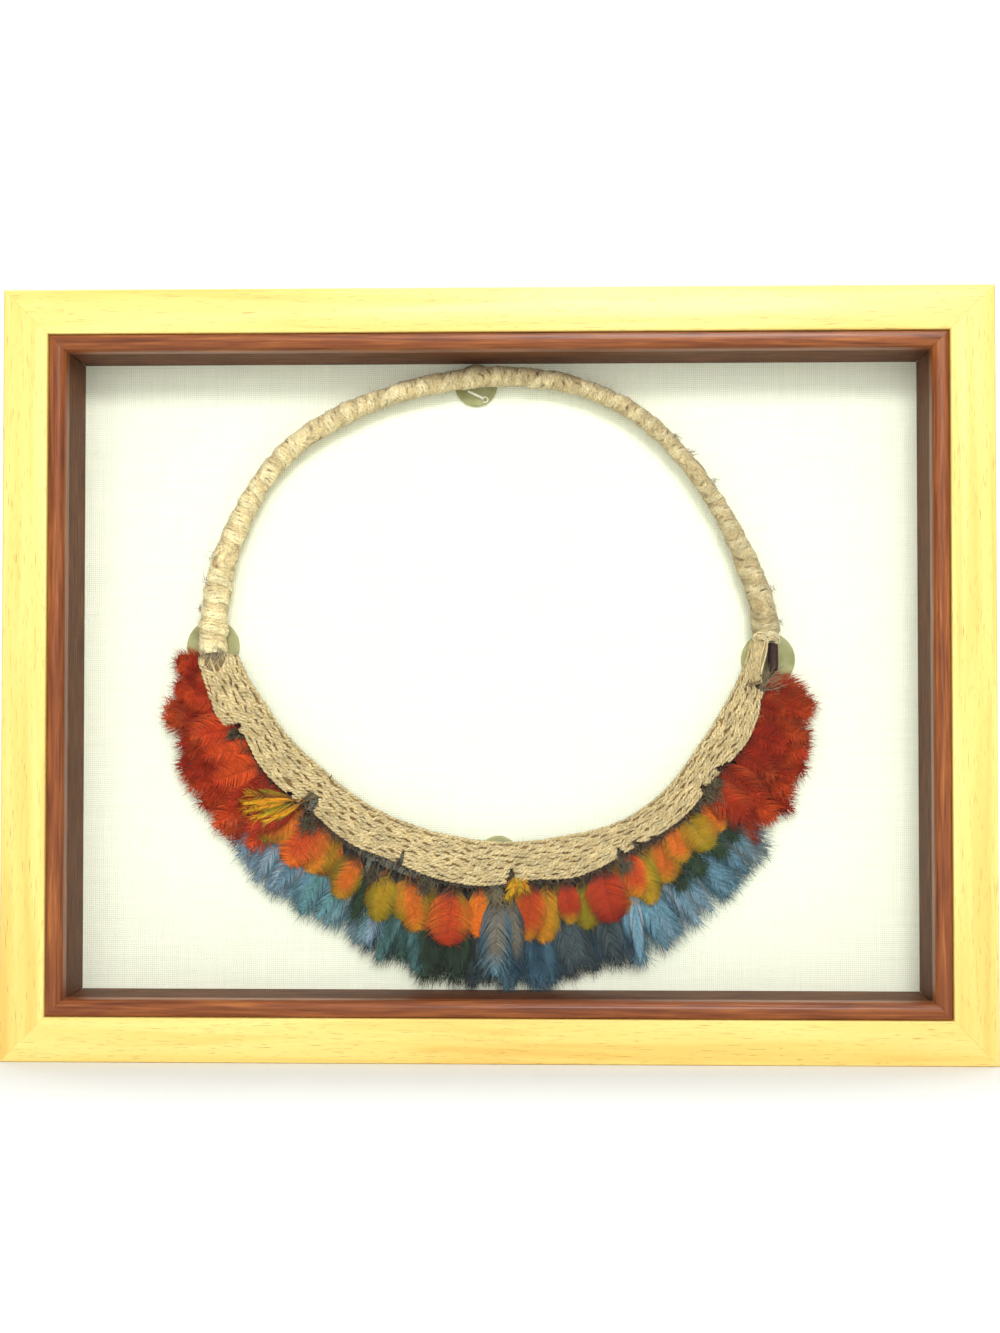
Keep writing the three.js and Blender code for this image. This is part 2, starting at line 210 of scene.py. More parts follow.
def tube_faces(rings, sides):
    """Quads of a tube through rings of points, with a fan of triangles over each end."""
    r, s = np.meshgrid(np.arange(rings - 1), np.arange(sides), indexing="ij")
    a, b = r * sides + s, r * sides + (s + 1) % sides
    walls = np.stack([a, b, b + sides, a + sides], axis=-1).reshape(-1, 4)
    fan = np.arange(1, sides - 1)
    start = np.stack([np.zeros_like(fan), fan + 1, fan, fan], axis=-1)
    end = np.stack([np.zeros_like(fan), fan, fan + 1, fan + 1], axis=-1) + (rings - 1) * sides
    return np.concatenate([walls, start, end])


def tube(path, radius, sides):
    """Points and faces of a round cord along a path of points."""
    along = unit(np.gradient(path, axis=0))
    across = unit(np.cross(along, TO_BACK))
    up = np.cross(across, along)
    turn = (2 * np.pi * np.arange(sides) / sides)[:, None]
    radius = np.broadcast_to(radius, len(path))[:, None, None]
    ring = across[:, None] * np.cos(turn) + up[:, None] * np.sin(turn)
    return (path[:, None] + radius * ring).reshape(-1, 3), tube_faces(len(path), sides)


# ---- materials ---------------------------------------------------------------------------

MIX = {"data_type": "RGBA"}
MULTIPLY = {"data_type": "RGBA", "blend_type": "MULTIPLY"}


def node(tree, kind, settings=None, out=0, stops=(), **links):
    """Adds a node and gives one of its outputs. settings are its own values, stops the colours of
    a ramp, and links its inputs: a socket to join or a value. i6 is the input at place 6."""
    made = tree.nodes.new(kind)
    for key, value in (settings or {}).items():
        setattr(made, key, value)
    while stops and len(made.color_ramp.elements) < len(stops):
        made.color_ramp.elements.new(0.5)
    for number, (place, colour) in enumerate(stops):
        element = made.color_ramp.elements[number]
        element.position = place
        element.color = rgba(colour)
    for key, value in links.items():
        entry = made.inputs[int(key[1:]) if key[1:].isdigit() else key.replace("_", " ")]
        if isinstance(value, bpy.types.NodeSocket):
            tree.links.new(value, entry)
        else:
            entry.default_value = value
    return made.outputs[out] if made.outputs else None


def new_material(name):
    """An empty material and its node tree."""
    material = bpy.data.materials.new(name)
    material.use_nodes = True
    tree = material.node_tree
    tree.nodes.clear()
    return material, tree


def finish_material(tree, shader):
    node(tree, "ShaderNodeOutputMaterial", Surface=shader)


def cloudy(tree, size_mm, detail, roughness=0.55, distortion=0.0):
    """Cloudy pattern that sits on the object, with lumps this many mm long on X, Y and Z."""
    scale = tuple(1 / (np.broadcast_to(size_mm, 3) * MM))
    coordinates = node(tree, "ShaderNodeTexCoord", out="Object")
    return node(
        tree,
        "ShaderNodeTexNoise",
        Vector=node(tree, "ShaderNodeMapping", Vector=coordinates, Scale=scale),
        Scale=1.0,
        Detail=detail,
        Roughness=roughness,
        Distortion=distortion,
    )


def lengthwise(along, length_mm, across_mm):
    """Size of a pattern in wood whose grain runs along X or Z."""
    across = (across_mm, across_mm)
    return (length_mm, *across) if along == "X" else (*across, length_mm)


def light_wood(name, along):
    """Pale rubberwood under clear satin lacquer: yellow cream, wide soft figure, short dark pores
    2 to 5 mm long that run with the grain."""
    material, tree = new_material(name)
    figure = cloudy(tree, lengthwise(along, 120, 6), 3.0, 0.5, 0.6)
    body = node(
        tree,
        "ShaderNodeValToRGB",
        stops=((0.25, "#e9d17f"), (0.5, "#e5c66d"), (0.68, "#ddb75c"), (0.85, "#d4a84e")),
        Fac=figure,
    )
    warmth = node(
        tree,
        "ShaderNodeMapRange",
        Value=cloudy(tree, METRE / 9, 2.0),
        From_Min=0.45,
        From_Max=0.8,
        To_Min=0.0,
        To_Max=0.35,
    )
    warm = node(tree, "ShaderNodeMix", MIX, out=2, Factor=warmth, i6=body, i7=rgba("#dfab52"))
    pores = cloudy(tree, lengthwise(along, 7, 0.38), 2.0, 0.6)
    dash = node(
        tree, "ShaderNodeMapRange", Value=pores, From_Min=0.6, From_Max=0.7, To_Min=0.0, To_Max=0.7
    )
    shader = node(
        tree,
        "ShaderNodeBsdfPrincipled",
        Base_Color=node(tree, "ShaderNodeMix", MIX, out=2, Factor=dash, i6=warm, i7=rgba("#8d8142")),
        Roughness=0.42,
        Normal=node(tree, "ShaderNodeBump", Height=dash, Distance=-0.05 * MM, Strength=0.5),
        Coat_Weight=0.25,
        Coat_Roughness=0.3,
    )
    finish_material(tree, shader)
    return material


def stained_wood(name, along):
    """Mahogany-stained moulding under satin varnish: red brown with darker streaks along the
    grain, so that it shines in narrow lines along its curves."""
    material, tree = new_material(name)
    streaks = cloudy(tree, lengthwise(along, 30, 1.2), 4.0, 0.6, 0.3)
    colour = node(
        tree,
        "ShaderNodeValToRGB",
        stops=((0.28, "#52280f"), (0.46, "#763e19"), (0.62, "#905224"), (0.8, "#ad6c32")),
        Fac=streaks,
    )
    patches = cloudy(tree, (40, METRE / 60, 40), 2.0)
    shade = node(
        tree, "ShaderNodeMapRange", Value=patches, From_Min=0.4, From_Max=0.75, To_Min=0.0, To_Max=0.5
    )
    shader = node(
        tree,
        "ShaderNodeBsdfPrincipled",
        Base_Color=node(tree, "ShaderNodeMix", MIX, out=2, Factor=shade, i6=colour, i7=rgba("#5c2715")),
        Roughness=0.42,
        Specular_IOR_Level=0.25,
        Normal=node(tree, "ShaderNodeBump", Height=streaks, Distance=0.08 * MM, Strength=0.6),
        Coat_Weight=0.22,
        Coat_Roughness=0.22,
    )
    finish_material(tree, shader)
    return material


def dark_wall():
    """Dark-stained softwood strip behind the glass, matt, with faint streaks 1 mm apart."""
    material, tree = new_material("dark_stained_strip")
    streaks = cloudy(tree, (METRE / 60, METRE / 900, METRE / 60), 3.0)
    stops = ((0.3, "#44230f"), (0.55, "#6a3e24"), (0.8, "#8e5e3c"))
    shader = node(
        tree,
        "ShaderNodeBsdfPrincipled",
        Base_Color=node(tree, "ShaderNodeValToRGB", stops=stops, Fac=streaks),
        Roughness=0.6,
        Specular_IOR_Level=0.15,
        Normal=node(tree, "ShaderNodeBump", Height=streaks, Distance=0.05 * MM, Strength=0.4),
    )
    finish_material(tree, shader)
    return material


def picture_glass():
    """Picture glass with a coat against glare, 2 mm: it mirrors very little, more at a slant."""
    material, tree = new_material("picture_glass")
    clear = node(tree, "ShaderNodeBsdfTransparent", Color=(0.975, 0.985, 0.98, 1))
    shine = node(tree, "ShaderNodeBsdfGlossy", Color=(1, 1, 1, 1), Roughness=0.03)
    fresnel = node(tree, "ShaderNodeFresnel", IOR=1.14)
    finish_material(tree, node(tree, "ShaderNodeMixShader", i0=fresnel, i1=clear, i2=shine))
    return material


def white_linen():
    """Bleached linen, plain weave: threads 0.8 mm apart with thicker slubs, matt, a trace of green
    grey in its shade."""
    material, tree = new_material("bleached_linen")
    spacing = 0.8 * MM
    coordinates = node(tree, "ShaderNodeTexCoord", out="Object")
    threads = [
        node(
            tree,
            "ShaderNodeTexWave",
            {"wave_type": "BANDS", "bands_direction": axis},
            out="Fac",
            Vector=coordinates,
            Scale=math.pi / 10 / spacing,
            Distortion=2.6,
            Detail=2.0,
            Detail_Scale=1.0,
        )
        for axis in ("X", "Z")
    ]
    slub = METRE / 1400
    slubs = [cloudy(tree, size, 2.0) for size in ((25, 25, slub), (slub, 25, 25))]
    sums = [
        node(tree, "ShaderNodeMath", {"operation": "ADD"}, i0=one, i1=other)
        for one, other in (threads, slubs)
    ]
    height = node(tree, "ShaderNodeMath", {"operation": "ADD"}, i0=sums[0], i1=sums[1])
    light = node(
        tree, "ShaderNodeMapRange", Value=height, From_Min=0.9, From_Max=2.6, To_Min=0.25, To_Max=0.8
    )
    stops = ((0.3, "#dfe3c8"), (0.5, "#f3f4df"), (0.75, "#fbfae9"))
    shader = node(
        tree,
        "ShaderNodeBsdfPrincipled",
        Base_Color=node(tree, "ShaderNodeValToRGB", stops=stops, Fac=light),
        Roughness=0.9,
        Specular_IOR_Level=0.2,
        Normal=node(tree, "ShaderNodeBump", Height=height, Distance=0.2 * MM, Strength=0.45),
    )
    finish_material(tree, shader)
    return material


def brown_board():
    """Brown backing board, pressed fibre with a dull surface and scattered specks of 1 mm."""
    material, tree = new_material("brown_backing_board")
    specks = cloudy(tree, METRE / 900, 3.0, 0.7)
    drift = cloudy(tree, METRE / 14, 2.0)
    stops = ((0.3, "#8a6740"), (0.6, "#a98458"))
    specked = node(tree, "ShaderNodeValToRGB", stops=stops, Fac=specks)
    shader = node(
        tree,
        "ShaderNodeBsdfPrincipled",
        Base_Color=node(tree, "ShaderNodeMix", MIX, out=2, Factor=drift, i6=specked, i7=rgba("#9c774c")),
        Roughness=0.85,
        Normal=node(tree, "ShaderNodeBump", Height=specks, Distance=0.1 * MM, Strength=0.5),
    )
    finish_material(tree, shader)
    return material


def pad_plastic():
    """Soft translucent adhesive disc, pale yellow green, a little cloudy."""
    material, tree = new_material("translucent_pad")
    stops = ((0.35, "#8f8d5c"), (0.7, "#b2ae7e"))
    shader = node(
        tree,
        "ShaderNodeBsdfPrincipled",
        Base_Color=node(tree, "ShaderNodeValToRGB", stops=stops, Fac=cloudy(tree, METRE / 120, 2.0)),
        Roughness=0.35,
        Subsurface_Weight=0.4,
        Subsurface_Radius=(4 * MM, 4 * MM, 2 * MM),
        Subsurface_Scale=1.0,
    )
    finish_material(tree, shader)
    return material


def plant_fibre(name, fibre_mm, depth_mm, dark=0.66):
    """Dry palm or bromelia fibre, hand twisted: straw beige, matt, each strand a bundle of fine fibres,
    painted darker in the grooves between them as painted shade, and darker or paler in random patches."""
    material, tree = new_material(name)
    tint = node(tree, "ShaderNodeVertexColor", {"layer_name": "tint"})
    grain = cloudy(tree, fibre_mm, 4.0, 0.7, 1.5)
    dust = cloudy(tree, METRE / 220, 3.0, 0.6)
    # Painted shade: darker where the grain's bump is low, in the grooves between the fibres.
    darker = node(
        tree, "ShaderNodeMapRange", Value=grain, From_Min=0.38, From_Max=0.62, To_Min=dark, To_Max=1.16
    )
    soil = node(
        tree, "ShaderNodeMapRange", Value=dust, From_Min=0.36, From_Max=0.64, To_Min=0.8, To_Max=1.1
    )
    shade = node(tree, "ShaderNodeMath", {"operation": "MULTIPLY"}, i0=darker, i1=soil)
    shader = node(
        tree,
        "ShaderNodeBsdfPrincipled",
        Base_Color=node(tree, "ShaderNodeMix", MULTIPLY, out=2, Factor=1.0, i6=tint, i7=shade),
        Roughness=0.85,
        Specular_IOR_Level=0.25,
        Sheen_Weight=0.15,
        Normal=node(tree, "ShaderNodeBump", Height=grain, Distance=depth_mm * MM, Strength=0.8),
    )
    finish_material(tree, shader)
    return material


def feather_vane(name, roughness, sheen):
    """Contour feathers: silky barbs that shine softly along their length, colour by barb, with
    streaks of 1 mm."""
    material, tree = new_material(name)
    tint = node(tree, "ShaderNodeVertexColor", {"layer_name": "tint"})
    streak = cloudy(tree, METRE / 900, 3.0, 0.6)
    shade = node(
        tree, "ShaderNodeMapRange", Value=streak, From_Min=0.3, From_Max=0.7, To_Min=0.8, To_Max=1.15
    )
    shader = node(
        tree,
        "ShaderNodeBsdfPrincipled",
        Base_Color=node(tree, "ShaderNodeMix", MULTIPLY, out=2, Factor=1.0, i6=tint, i7=shade),
        Roughness=roughness,
        Specular_IOR_Level=0.08,
        Sheen_Weight=sheen,
        Sheen_Roughness=0.4,
    )
    finish_material(tree, shader)
    return material


def dark_cane():
    """Old cane, dark brown and dry, with fine lengthwise cracks under 1 mm apart."""
    material, tree = new_material("dark_cane")
    cracks = cloudy(tree, (METRE / 1500, METRE / 1500, METRE / 120), 3.0)
    stops = ((0.35, "#1e0f0c"), (0.6, "#3d241b"), (0.8, "#5a3a2c"))
    shader = node(
        tree,
        "ShaderNodeBsdfPrincipled",
        Base_Color=node(tree, "ShaderNodeValToRGB", stops=stops, Fac=cracks),
        Roughness=0.7,
        Normal=node(tree, "ShaderNodeBump", Height=cracks, Distance=0.2 * MM, Strength=0.8),
    )
    finish_material(tree, shader)
    return material


LIGHT_WOOD = {axis: light_wood(f"rubberwood_grain_{axis.lower()}", axis) for axis in "XZ"}
STAINED_WOOD = {axis: stained_wood(f"stained_moulding_{axis.lower()}", axis) for axis in "XZ"}
BOUND_FIBRE = plant_fibre("bound_fibre_strip", 0.5, 0.2, 0.55)
LOOPED_FIBRE = plant_fibre("looped_fibre_cord", 0.45, 0.2, 0.5)
FEATHER = feather_vane("feather_barbs", 0.6, 0.04)
CANE = dark_cane()


def dress_node(name, material):
    """Gives a CAD node its material."""
    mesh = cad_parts[name].data
    mesh.materials.clear()
    mesh.materials.append(material)


dress_node("glass_pane", picture_glass())
dress_node("linen_board", white_linen())
dress_node("back_panel", brown_board())

# ---- display box -------------------------------------------------------------------------


def pick(piece):
    """Selects one piece alone and makes it active."""
    bpy.ops.object.select_all(action="DESELECT")
    piece.select_set(True)
    bpy.context.view_layer.objects.active = piece


def edit(piece):
    """Opens a piece in edit mode with all of it selected."""
    pick(piece)
    bpy.ops.object.mode_set(mode="EDIT")
    bpy.ops.mesh.select_all(action="SELECT")


def leave_edit():
    """Goes back to object mode with nothing selected."""
    bpy.ops.object.mode_set(mode="OBJECT")
    bpy.ops.object.select_all(action="DESELECT")


def settle(piece):
    """Turns and scales go into the mesh, and the object sits at the origin."""
    pick(piece)
    bpy.ops.object.transform_apply(location=True, rotation=True, scale=True)


def apply_modifiers(piece):
    """Puts a piece's modifiers into its mesh."""
    pick(piece)
    for modifier in list(piece.modifiers):
        bpy.ops.object.modifier_apply(modifier=modifier.name)


def round_edges(piece, chosen, width_mm, segments):
    """Bevels the edges whose middle passes the test."""
    edit(piece)
    bpy.ops.mesh.select_mode(type="EDGE")
    bpy.ops.mesh.select_all(action="DESELECT")
    bpy.ops.object.mode_set(mode="OBJECT")
    mesh = piece.data
    for edge in mesh.edges:
        ends = [mesh.vertices[i].co for i in edge.vertices]
        edge.select = chosen((ends[0] + ends[1]) / 2, (ends[1] - ends[0]).normalized())
    bpy.ops.object.mode_set(mode="EDIT")
    bpy.ops.mesh.bevel(offset=width_mm * MM, segments=segments, profile=0.5)
    leave_edit()


OUTWARD = {"bottom": (0, -1), "top": (0, 1), "left": (-1, 0), "right": (1, 0)}  # X and Z
MITRE_CLOSER = 0.17  # mm that a bar grows at both ends, so that its mitres close to a hairline
ON_FACE = 1e-5  # metres within which a point counts as lying on a face


def mitred_bar(prefix, side, material, edge_mm, nose_mm):
    """One bar of a mitred frame: a block cut to 45 degrees at both ends, its edges eased, and its
    front inner edge rounded to a nose."""
    name = f"{prefix}_{side}"
    outward = OUTWARD[side]
    low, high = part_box(name)
    closer = Vector((abs(outward[1]), 0, abs(outward[0]))) * MITRE_CLOSER * MM
    low, high = low - closer, high + closer
    middle, size = (low + high) / 2, high - low
    bpy.ops.mesh.primitive_cube_add(size=1, location=middle)
    bar = bpy.context.active_object
    bar.name = f"{prefix}_bar_{side}"
    bar.scale = size
    settle(bar)
    for end in (-1, 1):
        if outward[0]:
            corner = (high.x if outward[0] > 0 else low.x, middle.y, high.z if end > 0 else low.z)
            normal = (-outward[0], 0, end)
        else:
            corner = (high.x if end > 0 else low.x, middle.y, high.z if outward[1] > 0 else low.z)
            normal = (end, 0, -outward[1])
        edit(bar)
        bpy.ops.mesh.bisect(plane_co=corner, plane_no=normal, use_fill=True, clear_outer=True)
        leave_edit()
    inward = Vector((-outward[0], 0, -outward[1]))
    if nose_mm:
        reach = max(corner.co.dot(inward) for corner in bar.data.vertices)

        def at_nose(at, way):
            on_inner_face = abs(at.dot(inward) - reach) < ON_FACE
            return at.y < middle.y and on_inner_face and abs(way.y) < 0.5

        round_edges(bar, at_nose, nose_mm, 6)

    def at_front(at, way):
        """Edges of the front face, but not the mitres, which keep their sharp edge."""
        return abs(at.y - low.y) < ON_FACE and max(abs(way.x), abs(way.z)) > 0.9

    round_edges(bar, at_front, edge_mm, 3)
    edit(bar)
    bpy.ops.mesh.normals_make_consistent(inside=False)
    leave_edit()
    pick(bar)
    bpy.ops.object.shade_smooth_by_angle(angle=math.radians(35))
    bar.data.materials.clear()
    bar.data.materials.append(material)
    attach(bar, "root")
    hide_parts(name)


for side, (sideways, _) in OUTWARD.items():
    axis = "Z" if sideways else "X"
    mitred_bar("rail", side, LIGHT_WOOD[axis], 0.7, 0)
    mitred_bar("liner", side, STAINED_WOOD[axis], 0.5, 3.2)
WALL = dark_wall()
for side in OUTWARD:
    dress_node(f"spacer_{side}", WALL)


def mounting_pad(side, material):
    """A soft disc with a rolled edge."""
    low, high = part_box(f"mounting_pad_{side}")
    middle, size = (low + high) / 2, high - low
    bpy.ops.mesh.primitive_cylinder_add(
        vertices=64,
        radius=size.x / 2,
        depth=size.y,
        location=middle,
        rotation=(math.radians(90), 0, 0),
    )
    pad = bpy.context.active_object
    pad.name = f"soft_pad_{side}"
    settle(pad)
    rim = pad.modifiers.new("rolled edge", "BEVEL")
    rim.width = 0.7 * MM
    rim.segments = 4
    rim.limit_method = "ANGLE"
    apply_modifiers(pad)
    bpy.ops.object.shade_smooth_by_angle(angle=math.radians(50))
    pad.data.materials.clear()
    pad.data.materials.append(material)
    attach(pad, "root")
    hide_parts(f"mounting_pad_{side}")


PAD = pad_plastic()
for side in ("left", "right", "top", "bottom"):
    mounting_pad(side, PAD)

# ---- bound hoop --------------------------------------------------------------------------


HOOP_Y = sum(corner.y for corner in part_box("hoop_wrap")) / 2 / MM
HOOP_FROM, HOOP_TO = -2.4, 185.8
HOOP_EDGES = Edges("hoop_wrap", HOOP_FROM, HOOP_TO, 2.4).soften(3)
# The bound strip, in mm along the hoop: mesh step, width of a turn, and depth of its creases. lip
# is how far a turn stands up where it laps the last, as part of the hoop's radius.
WRAP = {"step": 0.32, "sides": 36, "pitch": 8.8, "lip": 0.1, "crease": 0.24}
FUZZ = 1700  # loose fibres all over the strip
FRAYED = 0.16  # part of each lapped edge's points where a fibre stands out
TUFTED_AT = (0.5, 7, 32.5, 40, 45, 166, 171, 177)  # degrees where the strip's edge stands out
PAINTED_LIGHT_BY_ANGLE = (0, 90, 180), (0.94, 1.2, 1.5)  # painted light: the strip is painted brighter to the left, where it is lit more, and darker to the right: degrees and brightness
STRAW, STRAW_DARK, STRAW_PALE = linear("#d8c393"), linear("#8d7049"), linear("#ecdeb8")
STRAW_DEEP = linear("#5f4a30")


def hoop_line(angle):
    """Centre radius and tube radius of the hoop."""
    inner, outer = HOOP_EDGES.inside(angle), HOOP_EDGES.outside(angle)
    return (inner + outer) / 2, (outer - inner) / 2 * 0.93


def wrap_length():
    """Angles that step evenly along the hoop, with the length to each."""
    fine = np.linspace(HOOP_FROM, HOOP_TO, 2000)
    line = polar(fine, hoop_line(fine)[0], HOOP_Y)
    length = np.concatenate([[0], np.cumsum(np.linalg.norm(np.diff(line, axis=0), axis=1))])
    even = np.arange(0, length[-1], WRAP["step"])
    return np.interp(even, length, fine), even


def wrap_radius(length, turn, tube_radius):
    """The bound strip's surface: a lip where each turn laps the last, creases along the strip."""
    unevenness = 0.6 * wander(3, length, 56) + 0.1 * wander(5, turn * 9 + length, 31)
    phase = length / WRAP["pitch"] + turn / (2 * np.pi) + unevenness
    share = phase - np.floor(phase)
    lip = smooth(0.0, 0.85, share) - smooth(0.9, 1.0, share)
    strength = 0.65 + 0.6 * wander(11, np.floor(phase) * 7.3, 23)
    winding = phase * WRAP["pitch"]
    crease = wander(7, winding + 0.8 * np.sin(turn * 2), 2.1)
    crease = crease * (0.5 + 0.5 * wander(8, turn * 4 + winding, 9))
    fine = wander(9, winding + 0.25 * np.sin(turn * 3), 0.75)
    fine = fine * (0.6 + 0.4 * wander(10, turn * 5 - winding, 7))
    lump = 0.05 * wander(13, length + 3 * np.sin(turn), 13)
    lump = lump + 0.03 * wander(14, length - 5 * np.sin(turn), 5)
    radius = tube_radius * (0.9 + WRAP["lip"] * lip * strength + lump)
    return radius + WRAP["crease"] * (crease + 0.4 * fine), lip, crease, fine


def hoop_surface(angle, length):
    """Rings of the strip's surface with a tint and a place in the atlas for each point, then the
    hoop's middle line, its outward direction, and where the strip's turns lap."""
    turn = 2 * np.pi * np.arange(WRAP["sides"]) / WRAP["sides"]
    radius, tube_radius = hoop_line(angle)
    centre = polar(angle, radius, HOOP_Y)
    along = unit(np.gradient(centre, axis=0))
    out = np.stack([along[:, 2], np.zeros(len(along)), -along[:, 0]], axis=1)
    surface, lip, crease, fine = wrap_radius(length[:, None], turn, tube_radius[:, None])
    round_it = out[:, None] * np.cos(turn)[:, None] + TO_BACK * np.sin(turn)[:, None]
    # Painted shade and highlight: the tint is darker in the creases, darkest in the deep ones, and paler
    # on the lapped lips and fine ridges that stand up.
    shade = np.clip(0.62 + 0.2 * lip + 0.34 * crease + 0.32 * fine, 0, 1)
    tint = blend(STRAW_DARK, STRAW, shade)
    tint = blend(tint, STRAW_PALE, np.clip(0.3 * smooth(0.3, 1.0, lip) + 0.35 * fine, 0, 1))
    tint = blend(tint, STRAW_DEEP, 0.85 * smooth(0.35, 0.9, -crease))
    # Painted light: brighter to the left, darker to the right.
    tint = np.clip(tint * np.interp(angle, *PAINTED_LIGHT_BY_ANGLE)[:, None, None], 0, 1)
    around = (turn / (2 * np.pi) - 0.25) % 1
    spot = np.stack(np.broadcast_arrays((length / length[-1])[:, None], around), axis=-1)
    return centre[:, None] + surface[..., None] * round_it, tint, spot, centre, out, lip


def add_fibre(heap, start, way, length, thick, colour, rng, droop=0.3):
    """One loose fibre, three-sided and tapered, that leaves start along way and bends at random."""
    part = np.linspace(0, 1, 4)[:, None]
    bend = rng.normal(0, droop, 3) * (1, 0.4, 1)
    path = start + length * (unit(way) * part + bend * part**2)
    heap.add(*tube(path, 1.15 * thick * (1 - 0.75 * part[:, 0]), 3), colour)


def hoop_binding():
    """The bound strip with the loose fibres that stand out of it."""
    angle, length = wrap_length()
    surface, tint, spot, centre, out, lip = hoop_surface(angle, length)
    heap = Heap()
    heap.add(surface, tube_faces(len(angle), WRAP["sides"]), tint, spot)
    rng = np.random.default_rng(21)
    along = unit(np.gradient(centre, axis=0))
    for _ in range(FUZZ):
        i, j = rng.integers(5, len(angle) - 5), rng.integers(0, WRAP["sides"])
        normal = unit(surface[i, j] - centre[i])
        around = unit(np.cross(normal, along[i]))
        way = around * rng.choice([-1, 1]) + normal * rng.uniform(0.0, 0.35) + rng.normal(0, 0.2, 3)
        colour = blend(STRAW_DARK, STRAW_PALE, rng.uniform(0, 1))
        start = surface[i, j] - normal * 0.03
        add_fibre(heap, start, way, rng.uniform(0.8, 2.8), 0.075, colour, rng)
    edges = np.argwhere((lip > 0.75) & (np.roll(lip, -2, axis=0) < 0.6))
    for i, j in edges[rng.random(len(edges)) < FRAYED]:  # edge of the strip at each lap
        normal = unit(surface[i, j] - centre[i])
        way = along[i] + 0.35 * normal + rng.normal(0, 0.35, 3)
        colour = blend(STRAW_DARK, STRAW_PALE, rng.uniform(0.2, 1))
        start = surface[i, j] - normal * 0.15
        add_fibre(heap, start, way, rng.uniform(0.6, 1.6), 0.1, colour, rng)
    for _ in range(90):  # ragged end of the strip over the crescent's left end
        start = rng.uniform((-117.5, 2.0, 156.6), (-108.5, 3.4, 159.5))
        way = np.array([rng.normal(0.1, 0.35), rng.normal(0, 0.08), -1.0])
        colour = blend(STRAW_DEEP, STRAW_PALE, rng.uniform(0.1, 1))
        add_fibre(heap, start, way, rng.uniform(1.0, 3.0), 0.13, colour, rng)
    tube_radius = hoop_line(angle)[1]
    for place in TUFTED_AT:
        i = int(np.argmin(np.abs(angle - place)))
        for _ in range(18):
            start = centre[i] + out[i] * tube_radius[i] * 0.95
            start = start + rng.normal(0, 0.75, 3) * (1, 0.4, 1)
            way = 0.7 * out[i] - along[i] + rng.normal(0, 0.5, 3) * (1, 0.5, 1)
            grey = blend(linear("#8a7c66"), linear("#c2b08c"), rng.uniform(0, 1))
            add_fibre(heap, start, way, rng.uniform(0.7, 1.9), 0.14, grey, rng, 0.8)
    return heap


make_piece("bound_hoop", hoop_binding(), BOUND_FIBRE, "bound_fibre", "hoop_wrap")


def core_stub():
    """Dry end of the cane core, round and a little thicker in its middle, with a broken top."""
    low, high = (np.array(corner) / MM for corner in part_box("hoop_core_end"))
    middle = (low + high) / 2
    rings = 9
    path = np.linspace([*middle[:2], low[2]], [*middle[:2], high[2]], rings)
    radius = (high[0] - low[0]) / 2 * (0.85 + 0.12 * np.sin(np.linspace(0.4, 3, rings)))
    points, faces = tube(path, radius, 14)
    points += np.random.default_rng(4).normal(0, 0.08, points.shape)
    heap = Heap()
    heap.add(points, faces, linear("#3b241b"))
    return heap


make_piece("cane_core_end", core_stub(), CANE, "cane", "hoop_core_end")

# ---- looped crescent ---------------------------------------------------------------------

BAND_FROM, BAND_TO = 186.5, 357.0
BAND_SHARP = Edges("woven_band", BAND_FROM, BAND_TO, 0.15, step=0.25)  # with its notches
BAND_SOFT = Edges("woven_band", BAND_FROM, BAND_TO, 1.6, step=1.2).soften(2)
BAND_STEP = 0.32  # degrees, about 0.5 mm
# The crescent's face: part of its width from inside to outside, and depth. A roll, then a flap.
BAND_FACE = np.array(
    [(0, 7.2), (0.05, 4.6), (0.12, 3.3), (0.2, 2.9), (0.3, 3.1), (0.42, 3.8), (0.6, 3.7)]
    + [(0.85, 3.8), (1, 4.6)]
)
BAND_BACK = np.array([(0.97, 6.4), (0.5, 6.6), (0.42, 9.6), (0.24, 11.2), (0.06, 9.4)])
BAND_ROWS = 13
ROLLED_ROWS = [(0.0, 9.0), (0.1, 10.9)]  # two more behind the roll: part of the width, and depth
# Each row's two strands: mm of a full twist, then thickness and distance as parts of the spacing.
STRAND = {"pitch": 4.0, "thick": 0.375, "apart": 0.33, "sides": 4}
# Gaps between the loops, with X, Z and reach.
BAND_GAPS = (
    (-114.2, 155.2, 2.5),
    (-110.6, 155.2, 2.5),
    (-112.4, 152.2, 2.1),
    (-78.5, 113.8, 1.1),
    (-82.8, 106.4, 1.1),
    (-86.5, 110.0, 0.7),
    (-46.5, 91.0, 0.8),
    (-66.0, 97.0, 0.8),
    (-71.0, 104.5, 0.6),
    (-102.5, 143.0, 0.6),
    (-60.0, 88.5, 0.6),
    (-24.0, 77.0, 0.7),
    (32.0, 79.5, 0.7),
    (73.0, 104.0, 0.7),
    (97.5, 142.5, 0.7),
    (-11.5, 79.0, 0.9),
    (-51.5, 79.5, 0.7),
    (-95.5, 131.5, 0.7),
    (-88.5, 127.0, 0.7),
    (15.0, 70.5, 0.7),
    (58.5, 87.5, 0.8),
    (89.5, 126.0, 0.8),
)
LOOP_PALE, LOOP_TAN, LOOP_DARK = linear("#f4dfae"), linear("#dcbf85"), linear("#a5804a")
# HOLLOW is dark brown: painted shade inside the crescent, and one tone of the cord round the strap.
HOLLOW = linear("#7a5e38")


def band_place(angle, part, y, edges=BAND_SOFT):
    """Points of the crescent at a part of its width from the inner edge."""
    inner, outer = edges.inside(angle), edges.outside(angle)
    return polar(angle, inner + part * (outer - inner), y)


def part_gaps(path):
    """Moves points sideways out of the gaps between the loops."""
    for x, z, reach in BAND_GAPS:
        off = path[..., [0, 2]] - (x, z)
        far = np.linalg.norm(off, axis=-1, keepdims=True) + 1e-6
        path[..., [0, 2]] += off / far * reach * np.exp(-((far / (1.5 * reach)) ** 2))
    return path


